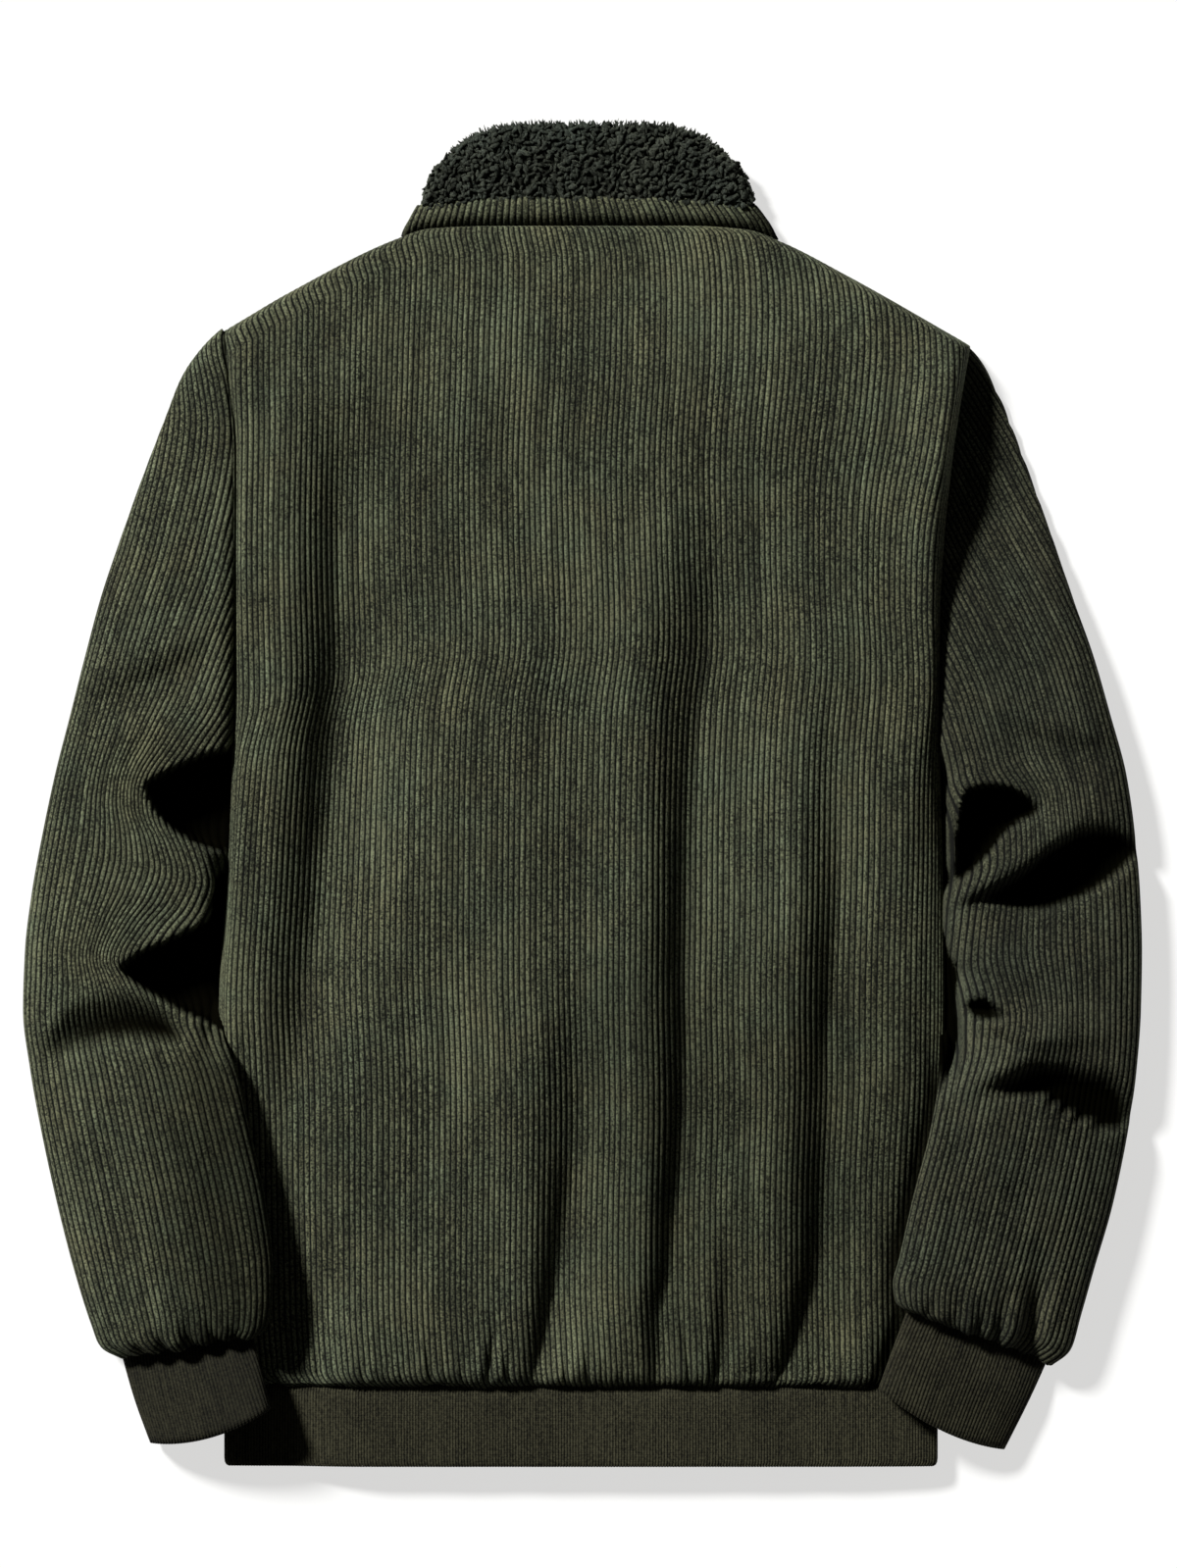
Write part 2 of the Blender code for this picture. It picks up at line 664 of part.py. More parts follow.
def open_ring(left, right, low, high, middle, slit, turn, power):
    """Section of a band that is slit at the centre front.

    `turn` runs 0 to 1: from the slit under the left half, over the back, to the slit again.
    """
    if turn < 0.25:
        swing, top = 4 * turn, False
        x = middle - slit + (left - middle + slit) * math.sin(math.pi / 2 * swing)
    elif turn <= 0.75:
        swing, top = 2 * turn - 0.5, True
        x = left + (right - left) * (1 - math.cos(math.pi * swing)) / 2
    else:
        swing, top = 4 * turn - 3, False
        x = right + (middle + slit - right) * (1 - math.cos(math.pi / 2 * swing))
    across = min(max((x - left) / (right - left), 0.0), 1.0)
    centre, half = (low + high) / 2, (high - low) / 2
    return x, centre + half * bulge(across, power) * (1 if top else -1)


def make_hem():
    """Rib band round the whole hem, open where the placket passes."""
    left, right = BODY_SIDES[0][1:3]

    def place(turn, y):
        slit = PLACKET_HALF + SEAM
        x, z = open_ring(left, right, 0.0, HEM_HEIGHT, 0.0, slit, turn, BAND_POWER)
        return x, y, z

    rows = (HEM_Y, (HEM_Y + HEM_JOIN) / 2, HEM_JOIN - SEAM)
    finish(cloth("hem_rib", RING_TURNS, rows, place, RIB_CLOTH), "rib_knit")


def make_collar():
    """Low corduroy band on the neck seam, and the taller fleece collar inside it."""

    def band_place(turn, along):
        left, right, height = follow(BAND, along)
        x, z = open_ring(left, right, 0.0, height, NECK_MIDDLE, COLLAR_SLIT, turn, COLLAR_POWER)
        away = abs(2 * (x - left) / (right - left) - 1)
        foot = follow(TOP_EDGE, x)[0] + CURVED_SEAM
        if z < height / 2:
            foot = neckline(x) + FRONT_NECK_SEAM
        top = BAND_TOP - (BAND_TOP - BAND_TOP_END) * away ** 4
        return x, foot + along * (top - foot), z

    def fleece_place(turn, along):
        left, right, height, low = follow(FLEECE, along)
        x, z = open_ring(left, right, low, height, NECK_MIDDLE, COLLAR_SLIT, turn, FLEECE_POWER)
        away = abs(2 * (x - left) / (right - left) - 1)
        top = FLEECE_TOP - (FLEECE_TOP - FLEECE_TOP_END) * away ** 5
        return x, FLEECE_FOOT + along * (top - FLEECE_FOOT), z

    band = cloth("collar_band", RING_TURNS, (0.0, 0.4, 1.0), band_place, CLOTH)
    finish(band, "corduroy")
    rows = [row[0] for row in FLEECE]
    fleece = cloth("collar_fleece", RING_TURNS, rows, fleece_place, FLEECE_CLOTH)
    finish(fleece, "fleece")


# ---------------------------------------------------------------- the jacket
for old in list(bpy.data.objects):
    bpy.data.objects.remove(old, do_unlink=True)

make_back()
make_fronts()
make_placket()
make_sleeve("left", LEFT_SECTIONS)
make_sleeve("right", RIGHT_SECTIONS)
make_cuff("left", LEFT_SECTIONS[-1], LEFT_CUFF)
make_cuff("right", RIGHT_SECTIONS[-1], RIGHT_CUFF)
make_hem()
make_collar()
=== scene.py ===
import math

import bmesh
import bpy
import numpy as np
from mathutils import Euler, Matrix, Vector


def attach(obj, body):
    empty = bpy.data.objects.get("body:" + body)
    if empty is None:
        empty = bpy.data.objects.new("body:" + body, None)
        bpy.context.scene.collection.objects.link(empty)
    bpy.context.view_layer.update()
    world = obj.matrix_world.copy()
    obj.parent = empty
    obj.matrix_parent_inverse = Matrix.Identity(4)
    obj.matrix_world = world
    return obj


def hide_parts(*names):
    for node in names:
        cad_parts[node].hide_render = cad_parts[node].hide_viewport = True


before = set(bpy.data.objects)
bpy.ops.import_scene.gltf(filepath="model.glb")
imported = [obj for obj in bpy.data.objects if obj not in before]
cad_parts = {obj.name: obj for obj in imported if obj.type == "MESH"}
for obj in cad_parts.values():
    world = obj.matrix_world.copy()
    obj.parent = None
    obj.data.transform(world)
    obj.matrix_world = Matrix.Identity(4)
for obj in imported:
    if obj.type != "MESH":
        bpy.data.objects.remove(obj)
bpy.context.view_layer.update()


# ---------------------------------------------------------------- floor, light and camera
# A seamless sheet of pale paper under the jacket, which glows so that it looks nearly white.
# One large lamp stands high to the upper left, the rest of the room is dim, and the camera
# looks straight down.
FLOOR_SIZE = 60.0
FLOOR_DROP = 0.0004
CAMERA_HEIGHT = 5.0
LOOK_LEVEL = 0.02              # height at which the view is VIEW_LENGTH long
VIEW_LENGTH = 0.8795           # length that fills the picture from top to bottom
VIEW_MIDDLE = (0.0033, 0.0063)
LAMP_TRAVEL = (0.565, -0.565, -0.60)
LAMP_STRENGTH = 6.6
LAMP_SPREAD = math.radians(9.0)
ROOM_STRENGTH = 0.06


def surface(name, values):
    """A new material with these values on its shader; also its node tree and that shader."""
    material = bpy.data.materials.new(name)
    material.use_nodes = True
    shader = material.node_tree.nodes["Principled BSDF"]
    for socket, value in values.items():
        shader.inputs[socket].default_value = value
    return material, material.node_tree, shader


def make_piece(name, bm, material, smooth=True):
    """An object made of a finished bmesh, in its material."""
    mesh = bpy.data.meshes.new(name)
    bm.to_mesh(mesh)
    bm.free()
    if smooth:
        mesh.shade_smooth()
    mesh.materials.append(material)
    piece = bpy.data.objects.new(name, mesh)
    bpy.context.scene.collection.objects.link(piece)
    return piece


bm = bmesh.new()
bmesh.ops.create_grid(bm, x_segments=1, y_segments=1, size=FLOOR_SIZE / 2)
bmesh.ops.translate(bm, verts=bm.verts, vec=(0, 0, -FLOOR_DROP))
paper, _, _ = surface("pale floor", {
    "Base Color": (0.28, 0.28, 0.275, 1), "Roughness": 1.0, "Specular IOR Level": 0.0,
    "Emission Color": (1.0, 0.995, 0.985, 1), "Emission Strength": 0.66})
make_piece("floor", bm, paper, smooth=False)

lamp_data = bpy.data.lights.new("lamp", "SUN")
lamp_data.energy = LAMP_STRENGTH
lamp_data.angle = LAMP_SPREAD
lamp = bpy.data.objects.new("lamp", lamp_data)
lamp.rotation_euler = Vector(LAMP_TRAVEL).to_track_quat("-Z", "Y").to_euler()
bpy.context.scene.collection.objects.link(lamp)

room = bpy.data.worlds.new("room")
room.use_nodes = True
background = room.node_tree.nodes["Background"]
background.inputs["Color"].default_value = (1, 1, 1, 1)
background.inputs["Strength"].default_value = ROOM_STRENGTH
bpy.context.scene.world = room
bpy.context.scene.view_settings.view_transform = "Standard"

camera_data = bpy.data.cameras.new("camera")
camera_data.lens = camera_data.sensor_width * (CAMERA_HEIGHT - LOOK_LEVEL) / VIEW_LENGTH
camera = bpy.data.objects.new("camera", camera_data)
camera.location = (*VIEW_MIDDLE, CAMERA_HEIGHT)
bpy.context.scene.collection.objects.link(camera)
bpy.context.scene.camera = camera


# ---------------------------------------------------------------- back
# The back is one piece of wide-wale corduroy over padding, cut with the wales upright.  It
# rolls down at its sides to the side seams and is gathered a little onto the hem band.
MM = 0.001
CLOTH = 2.0                    # corduroy with its backing, mm
WALE_PITCH = 3.2
WALE_HIGH = 0.95
# Height across one wale, from its groove to the next.
WALE_SECTION = ((0.0, 0.0), (0.18, 0.9), (0.5, 1.0), (0.82, 0.9))
HEM_JOIN = -331.0
HEM_HEIGHT = 19.4
HEM_ROLL = 9.0                 # how far above the hem seam the cloth is drawn down
JOIN_HEIGHT = 18.0
HEM_LOWERED = 0.34             # share of its height that the hem's left end loses
LOW_RIGHT_SHADE = 0.34         # painted shade low on the right, where the cloth turns from the lamp
CREASE_SHADE = 0.93            # and painted shade in the crease beside the right sleeve's end
BACK_WALES = 138
BACK_TOP_ROLL = 5.0
BACK_WIDTH = (-199.5, 201.0)    # between the sides, where the wales run straight

BODY_SIDES = (
    # y,     left,    right,  seam_left, seam_right, roll_left, roll_right
    (-331, -201.5, 199.5, 10, 10, 12, 12),
    (-290, -202, 200, 10, 10, 12, 12),
    (-200, -202.8, 200.5, 10, 8, 12, 16),
    (-150, -203.5, 202, 10, 6, 10, 26),
    (-120, -203.5, 202.5, 10, 6, 9, 30),
    (-50, -199, 201.8, 10, 6, 9, 26),
    (12, -196.2, 200.3, 13, 8, 8, 17),
    (60, -195.5, 200, 25, 11, 7, 7),
    (100, -195.5, 200, 28, 14, 7, 5.5),
    (135, -195.5, 201.5, 29, 14, 7, 7),
    (193, -195.5, 207.5, 28, 10, 7, 8),
    (235, -199.5, 214, 23, 8, 9, 8),
    (262, -201.5, 219, 9, 7, 12, 10),
)
TOP_EDGE = (
    # x,      y,     seam
    (-203, 259, 7),
    (-188, 268, 7),
    (-166, 281, 7),
    (-104, 312, 8.5),
    (-86, 317.5, 11.5),
    (-50, 319, 13),
    (60, 319, 13),
    (92, 317, 11.5),
    (112, 310, 8.5),
    (147, 292, 7),
    (219, 251, 7),
)
CROWN = (
    # y,     height
    (-331, 27),
    (-290, 31),
    (-150, 32.5),
    (50, 33),
    (150, 33),
    (215, 32),
    (255, 27),
    (290, 20),
    (322, 15),
)
# Long folds: each drops on its left over `steep` and climbs again on its right over `slow`;
# a depth below nothing is a ridge.
SLEEVE_END_HOLLOW = (   # in which the right sleeve's end lies
    # y,     x,     steep, slow, depth
    (-130, 203, 10, 24, 0),
    (-160, 203, 10, 30, 9),
    (-192, 198, 10, 34, 12),
    (-226, 189.5, 10, 34, 12),
    (-262, 182, 10.5, 34, 13),
    (-288, 183, 13, 34, 15.5),
    (-312, 176, 11, 34, 14.5),
    (-332, 168, 8, 30, 9),
)
BACK_FOLDS = (
    (   # by the right side, beyond which the cloth stays low
        # y,     x,     steep, slow, depth
        (75, 143, 19, 40, 0),
        (30, 143.5, 17, 66, 6),
        (-20, 145, 16.5, 100, 14),
        (-60, 145.5, 16.5, 125, 19),
        (-93, 144, 16.5, 140, 20.5),
        (-126, 142.5, 16, 140, 20.5),
        (-159, 140.5, 16, 140, 19),
        (-192, 139.5, 15, 130, 17.5),
        (-225, 138, 14.5, 115, 17),
        (-258, 135.5, 13.5, 95, 16),
        (-291, 126.5, 11.5, 70, 14.5),
        (-322, 114, 6.5, 40, 8),
        (-332, 105, 4, 12, 3),
    ),
    (   # the swell between it and the right side
        (60, 174, 24, 20, 0),
        (10, 173, 24, 20, -3.5),
        (-60, 174, 24, 20, -4),
        (-160, 172, 22, 18, -4),
        (-220, 168, 20, 16, -2.5),
        (-250, 166, 20, 16, 0),
    ),
    (   # the slope that leads into it
        (-20, 146, 40, 60, 0),
        (-90, 145.5, 40, 60, 1.5),
        (-150, 140.5, 40, 60, 5),
        (-240, 136.5, 40, 60, 7),
        (-325, 114, 34, 40, 4),
    ),
    (   # right of the middle
        (200, 82, 22, 40, 0),
        (130, 77, 19, 44, 7),
        (105, 75, 18.5, 46, 10),
        (72, 71, 18, 48, 12),
        (39, 67, 16, 56, 13.5),
        (6, 64, 15, 62, 14.5),
        (-27, 61.5, 13.5, 62, 15.5),
        (-93, 58.5, 12.5, 58, 16),
        (-126, 59.5, 12, 54, 17),
        (-192, 57, 12, 44, 17.5),
        (-225, 53.5, 11.5, 40, 17),
        (-258, 51.5, 11.5, 36, 16),
        (-291, 45, 9.5, 30, 13),
        (-318, 43, 6, 16, 7.5),
        (-332, 42, 4, 7, 2),
    ),
    (   # left of the middle, low
        (-85, 4, 16, 34, 0),
        (-130, 2, 17, 34, 6.5),
        (-165, 0, 17, 32, 10.5),
        (-198, -3, 15, 32, 13.5),
        (-231, -7.5, 13, 32, 15.5),
        (-270, -14, 10.5, 30, 14.5),
        (-300, -20, 8, 23, 11.5),
        (-322, -26, 5, 12, 6),
        (-332, -28, 4, 7, 2),
    ),
    (   # between the two on the right, low
        (-225, 86, 12, 18, 0),
        (-262, 84.5, 9, 17, 6),
        (-295, 81, 7.5, 15, 9),
        (-320, 77, 5, 8, 7),
        (-332, 75, 4, 7, 2),
    ),
    (   # the hollow along the left side
        (225, -133, 16, 36, 0),
        (171, -134.5, 15, 42, 9),
        (138, -135, 14, 46, 12),
        (105, -135, 14, 50, 14.5),
        (72, -135.5, 15, 50, 15.5),
        (39, -138, 16.5, 46, 16.5),
        (6, -139, 17.5, 40, 17),
        (-27, -142.5, 18, 32, 17),
        (-60, -146, 17.5, 28, 16),
        (-93, -152, 16, 26, 14),
        (-126, -156, 15, 26, 11),
        (-159, -159, 13, 24, 6),
        (-200, -163, 12, 22, 0),
    ),
    (   # low cloth beside the left sleeve
        (-130, -182, 40, 16, 0),
        (-165, -180, 40, 18, 4.5),
        (-192, -176, 40, 20, 7.5),
        (-225, -171, 40, 21, 10),
        (-258, -166, 40, 22, 11),
        (-291, -157, 40, 20, 11.5),
        (-325, -156, 40, 18, 10.5),
        (-332, -156, 40, 18, 6),
    ),
    (   # the ridge between it and the side
        (240, -168, 20, 16, 0),
        (180, -168, 22, 16, -3),
        (60, -168, 24, 16, -4),
        (-30, -176, 20, 14, -3),
        (-100, -186, 14, 12, 0),
    ),
    (   # the ridge along the right armhole
        (262, 204, 16, 16, 0),
        (225, 203, 18, 16, -8),
        (190, 201, 18, 16, -9.5),
        (160, 198.5, 18, 16, -6),
        (125, 194, 18, 16, -4),
        (70, 192, 16, 16, -1.5),
        (45, 192, 16, 16, 0),
    ),
    (   # a low ridge right of the middle
        (170, 34, 34, 16, 0),
        (90, 34, 34, 14, -3),
        (-90, 30, 30, 14, -3.5),
        (-200, 26, 26, 12, -1.5),
        (-270, 24, 20, 12, 0),
    ),
    (   # a low ridge left of the middle
        (110, -32, 22, 22, 0),
        (40, -32, 22, 22, -1.8),
        (-160, -34, 22, 20, -2.2),
        (-260, -36, 18, 16, 0),
    ),
    SLEEVE_END_HOLLOW,
    (   # by the left side, low and soft
        (-230, -150, 12, 18, 0),
        (-290, -152, 10, 16, 3),
        (-322, -154, 8, 12, 0),
    ),
)
# Short gathers where the corduroy is eased onto the hem band.
GATHERS = (
    # x,     length, width, depth
    (-172, 16, 3.5, 0.9),
    (-150, 24, 4, 1.3),
    (-121, 18, 4, 1.2),
    (-101, 14, 3.5, 0.9),
    (-86, 30, 4, 1.9),
    (-66, 16, 3.5, 1.1),
    (-51.5, 40, 4.5, 3.2),
    (-41, 20, 3.5, 2.2),
    (-11, 22, 4, 1.7),
    (1, 26, 4, 2.2),
    (21, 16, 3.5, 1.2),
    (58, 46, 4.5, 3.4),
    (66, 22, 3.5, 2),
    (95, 22, 4, 1.8),
    (126, 22, 3.5, 1.8),
    (146, 18, 4, 1.3),
    (170, 24, 4, 1.4),
    (184, 14, 3.5, 0.9),
)


def follow(rows, at):
    """The later columns of a table at `at` in its first column, on a smooth curve."""
    table = np.array(rows, dtype=float)
    if table[0, 0] > table[-1, 0]:
        table = table[::-1]
    keys, values = table[:, 0], table[:, 1:]
    at = np.clip(np.asarray(at, dtype=float), keys[0], keys[-1])
    steps = np.diff(keys)
    rises = np.diff(values, axis=0) / steps[:, None]
    slopes = np.zeros_like(values)
    before, after = rises[:-1], rises[1:]
    same_way = before * after > 0
    total = np.where(same_way, before + after, 1.0)
    slopes[1:-1] = np.where(same_way, 2 * before * after / total, 0.0)
    slopes[0], slopes[-1] = rises[0], rises[-1]
    i = np.clip(np.searchsorted(keys, at, side="right") - 1, 0, len(keys) - 2)
    step = steps[i][..., None]
    t = (at - keys[i])[..., None] / step
    return (values[i] * (1 + 2 * t) * (1 - t) ** 2 + slopes[i] * step * t * (1 - t) ** 2
            + values[i + 1] * t * t * (3 - 2 * t) - slopes[i + 1] * step * t * t * (1 - t))


def ease(t):
    """0 below 0, 1 above 1, smooth between."""
    t = np.clip(t, 0.0, 1.0)
    return t * t * (3 - 2 * t)


def rounded(distance, radius):
    """Quarter round: 0 at the edge, 1 once `distance` has passed `radius`."""
    t = np.clip(distance / radius, 0.0, 1.0)
    return np.sqrt(1 - (1 - t) ** 2)


def drift(x, y, size, seed):
    """Slow unevenness between -1 and 1, with lumps about `size` mm across."""
    total = 0.0
    for k in range(5):
        turn = seed * 1.7 + k * 2.4
        pace = 2 * math.pi / size * (0.55 + 0.23 * k)
        total = total + np.sin(pace * (x * math.cos(turn) + y * math.sin(turn)) + seed + k * k)
    return total / 3.2


def run_of(steps):
    """How far along a line each of its points lies, from the steps between them."""
    return np.concatenate(([0.0], np.cumsum(steps)))


def swing(count):
    """Fractions from 0 to 1 that lie closest at both ends."""
    return (1 - np.cos(np.pi * np.linspace(0, 1, count))) / 2


def along_section(fine, height, fractions):
    """Places at even steps of cloth along a section drawn by fine points (x, z)."""
    length = run_of(np.hypot(np.diff(fine), np.diff(height)))
    return np.interp(fractions * length[-1], length, fine)


def hem_level(x):
    """The hem band lies lower at its left end, under the sleeve: 1 elsewhere."""
    return 1 - HEM_LOWERED * (1 - ease((x + 168.0) / 42.0))


def back_height(x, y, settled=True):
    """Upper surface of the back; before it has settled it has only its longest folds."""
    left, right, seam_left, seam_right, roll_left, roll_right = np.moveaxis(
        follow(BODY_SIDES, y), -1, 0)
    top, seam_top = np.moveaxis(follow(TOP_EDGE, x), -1, 0)
    across = np.clip(np.abs(2 * x - left - right) / (right - left), 0.0, 1.0)
    body = follow(CROWN, y)[..., 0] * (1 - 0.06 * across ** 2)
    for rows in BACK_FOLDS:
        course, steep, slow, depth = np.moveaxis(follow(rows, y), -1, 0)
        inside = (y <= rows[0][0]) & (y >= rows[-1][0])
        away = x - course
        width = np.where(away < 0, steep, slow)
        depth = depth if settled else 0.25 * depth
        body = body - np.where(inside, depth * np.exp(-((away / width) ** 2)), 0.0)
    for course, length, width, depth in GATHERS if settled else ():
        lift = y - HEM_JOIN
        course = course + 2.0 * np.sin(lift / 13.0 + course)
        fade = ease((length - lift) / (0.7 * length)) * (0.35 + 0.65 * ease(lift / 5.0))
        body = body - depth * fade * np.exp(-(((x - course) / (width * 0.6)) ** 2))
        body = body + 0.5 * depth * fade * np.exp(-(((np.abs(x - course) - width) / width) ** 2))
    if settled:
        body = body + 0.6 * drift(x, y * 0.4, 70.0, 3.0) + 0.3 * drift(x, y * 0.5, 26.0, 8.0)
    join = JOIN_HEIGHT * hem_level(x)
    body = join + (body - join) * rounded(y - HEM_JOIN, HEM_ROLL)
    side = np.where(x - left < right - x, rounded(x - left, roll_left),
                    rounded(right - x, roll_right))
    shoulder = rounded(top - y, BACK_TOP_ROLL)
    seam = np.where(2 * x < left + right, seam_left, seam_right)
    edge = seam_top + (seam - seam_top) * (1 - side)
    return edge + np.maximum(body - edge, 0.0) * side * shoulder


def back_painted_shade(x, y):
    """Painted shade on the back: low on the right, and in the crease beside the sleeve's end."""
    low_right = LOW_RIGHT_SHADE * ease((-45.0 - y) / 110.0) * ease((x + 30.0) / 70.0)
    course = follow(SLEEVE_END_HOLLOW, y)[..., 0]
    crease = CREASE_SHADE * ease((x - course + 14.0) / 6.0) * ease((-140.0 - y) / 20.0)
    return np.maximum(low_right, crease)


def back_row(fraction, from_top, wales):
    """One row of the back's grid, from side seam to side seam."""
    def height_of(x):
        top = follow(TOP_EDGE, x)[..., 0]
        if from_top is not None:
            return top - from_top
        return HEM_JOIN + fraction * (top - BACK_TOP_ROLL - HEM_JOIN)

    ends = []
    for column in (0, 1):
        y = HEM_JOIN + fraction * (TOP_EDGE[0][1] - HEM_JOIN)
        for _ in range(4):
            x = float(follow(BODY_SIDES, y)[column])
            y = float(height_of(x))
        ends.append(x)
    fine = ends[0] + (ends[1] - ends[0]) * swing(900)
    x = along_section(fine, back_height(fine, height_of(fine), settled=False), wales)
    straight = np.interp(x, ends, BACK_WIDTH)
    inside = ease(np.minimum(x - ends[0], ends[1] - x) / 150.0)
    x = x + (straight - x) * inside
    return x, height_of(x)


def wale_columns(count, section=WALE_SECTION, high=WALE_HIGH):
    """Where the columns of a ribbed cloth run, counted in wales, and how high each stands."""
    places = [k + place for k in range(count) for place, _ in section] + [count]
    heights = [height for _ in range(count) for _, height in section] + [0.0]
    return np.array(places), np.array(heights) * high


def sew(name, spots, thickness, material, wale_of, row_of, ridges=0.0, painted_shade=0.0, tube=False,
        turned=False, cuts=(), cut_above=0.0):
    """A piece of cloth from a grid of spots (rows, columns, xyz in mm).

    `wale_of` counts the wales across the grid and `row_of` the rows of pattern along it,
    `ridges` is how far each spot stands out, `painted_shade` the painted shade there, in a fold or
    where it turns from the lamp (0 to 1).  A tube has its two side edges joined.
    `cuts` are upright planes (x, y, normal_x, normal_y) beyond which the cloth above
    `cut_above` is cut away.
    """
    spots = np.array(spots)
    size = rows, columns = spots.shape[:2]
    bm = bmesh.new()
    bmesh.ops.create_grid(bm, x_segments=columns - 1, y_segments=rows - 1, size=0.5)
    ridge_layer = bm.verts.layers.float.new("ridge")
    # Painted shade is kept on each spot for the material to read.
    painted_shade_layer = bm.verts.layers.float.new("painted_shade")
    order_layer = bm.verts.layers.int.new("order")
    wale_layer = bm.loops.layers.uv.new("wale")
    places = (spots.reshape(-1, 3) * MM).tolist()
    stands = (np.broadcast_to(ridges, size).ravel() * MM).tolist()
    painted_shade_values = np.broadcast_to(painted_shade, size).ravel().tolist()
    for vert, place, stand, deep in zip(bm.verts, places, stands, painted_shade_values):
        vert.co = place
        vert[ridge_layer] = stand
        vert[painted_shade_layer] = deep
    row_of = np.broadcast_to(np.reshape(row_of, (rows, -1)), size)
    pattern = np.stack((np.broadcast_to(wale_of, size), row_of), axis=-1)
    coordinates = pattern.reshape(-1, 2).tolist()
    for face in bm.faces:
        for loop in face.loops:
            loop[wale_layer].uv = coordinates[loop.vert.index]
    if tube:
        bm.verts.ensure_lookup_table()
        joins = {bm.verts[row * columns + columns - 1]: bm.verts[row * columns]
                 for row in range(rows)}
        bmesh.ops.weld_verts(bm, targetmap=joins)
    for x, y, normal_x, normal_y in cuts:
        faces = [face for face in bm.faces if face.calc_center_median().y > cut_above * MM]
        edges = list({edge for face in faces for edge in face.edges})
        verts = list({vert for face in faces for vert in face.verts})
        bmesh.ops.bisect_plane(bm, geom=verts + edges + faces, plane_co=(x * MM, y * MM, 0.0),
                               plane_no=(normal_x, normal_y, 0.0), clear_outer=True)
    if turned:
        bmesh.ops.reverse_faces(bm, faces=bm.faces[:])
    bm.normal_update()
    outer = [(vert, vert.co.copy(), vert.normal.copy(), vert[ridge_layer]) for vert in bm.verts]
    for k, vert in enumerate(bm.verts):
        vert[order_layer] = k
    bmesh.ops.solidify(bm, geom=bm.verts[:] + bm.edges[:] + bm.faces[:], thickness=thickness * MM)
    for vert in bm.verts:
        _, spot, normal, _ = outer[vert[order_layer]]
        vert.co = spot - normal * thickness * MM
    for vert, spot, normal, stand in outer:
        vert.co = spot + normal * stand
    bm.verts.layers.float.remove(bm.verts.layers.float["ridge"])
    bm.verts.layers.int.remove(bm.verts.layers.int["order"])
    piece = make_piece(name, bm, material)
    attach(piece, "root")
    return piece


def new_group(name, inputs, outputs):
    """A shader node group with its own input and output nodes."""
    group = bpy.data.node_groups.new(name, "ShaderNodeTree")
    for label, kind, value in inputs:
        socket = group.interface.new_socket(label, in_out="INPUT", socket_type=kind)
        socket.default_value = value
    for label, kind in outputs:
        group.interface.new_socket(label, in_out="OUTPUT", socket_type=kind)
    return group, group.nodes.new("NodeGroupInput"), group.nodes.new("NodeGroupOutput")


def feed(tree, socket, value):
    """Link another node's socket to this one, or set a plain value on it."""
    if isinstance(value, bpy.types.NodeSocket):
        tree.links.new(value, socket)
    else:
        socket.default_value = value


def add(tree, kind, inputs, **settings):
    """A node with its settings and with what feeds its inputs."""
    node = tree.nodes.new(kind)
    for label, value in settings.items():
        setattr(node, label, value)
    for label, value in inputs.items():
        feed(tree, node.inputs[label], value)
    return node


def arithmetic(tree, operation, first, second=None, clamp=False):
    """One Math node on numbers or sockets."""
    inputs = {0: first} if second is None else {0: first, 1: second}
    return add(tree, "ShaderNodeMath", inputs, operation=operation, use_clamp=clamp).outputs[0]


def noise(tree, place, scale, detail=2.0, roughness=0.5):
    """The value of a noise texture on linked coordinates."""
    return add(tree, "ShaderNodeTexNoise", {"Vector": place, "Scale": scale, "Detail": detail,
                                            "Roughness": roughness}).outputs["Fac"]


def stretched(tree, place, scale):
    """Coordinates stretched by a Mapping node."""
    return add(tree, "ShaderNodeMapping", {"Vector": place, "Scale": scale}).outputs["Vector"]


def row_by_row(tree, place, stretch):
    """A value that differs a little from one wale or rib to the next."""
    return add(tree, "ShaderNodeTexNoise", {"Vector": stretched(tree, place, stretch),
                                            "Scale": 1.0, "Detail": 2.0},
               noise_dimensions="2D").outputs["Fac"]


def from_crest(tree, place):
    """Distance from the middle of each repeat of a pattern: 0 there, 0.5 between two."""
    within = arithmetic(tree, "FRACT", place)
    return arithmetic(tree, "ABSOLUTE", arithmetic(tree, "SUBTRACT", within, 0.5))


def spread(tree, value, low, high, to_low=0.0, to_high=1.0):
    """A value's range spread onto another and held inside it."""
    return add(tree, "ShaderNodeMapRange", {"Value": value, "From Min": low, "From Max": high,
                                            "To Min": to_low, "To Max": to_high},
               clamp=True).outputs["Result"]


def mixed(tree, factor, first, second, blend="MIX"):
    """A colour between two others."""
    return add(tree, "ShaderNodeMix", {0: factor, 6: first, 7: second}, data_type="RGBA",
               blend_type=blend).outputs[2]


def pattern_places(tree):
    """A cloth's own pattern coordinates: across its wales, along them, and both together."""
    both = add(tree, "ShaderNodeUVMap", {}, uv_map="wale").outputs["UV"]
    split = add(tree, "ShaderNodeSeparateXYZ", {"Vector": both})
    return split.outputs["X"], split.outputs["Y"], both


def own_places(tree):
    """Coordinates in the piece itself."""
    return tree.nodes.new("ShaderNodeTexCoord").outputs["Object"]


def relief(tree, shader, height, strength, distance):
    """Fine relief on a surface."""
    bump = add(tree, "ShaderNodeBump", {"Height": height, "Strength": strength,
                                        "Distance": distance})
    tree.links.new(bump.outputs["Normal"], shader.inputs["Normal"])


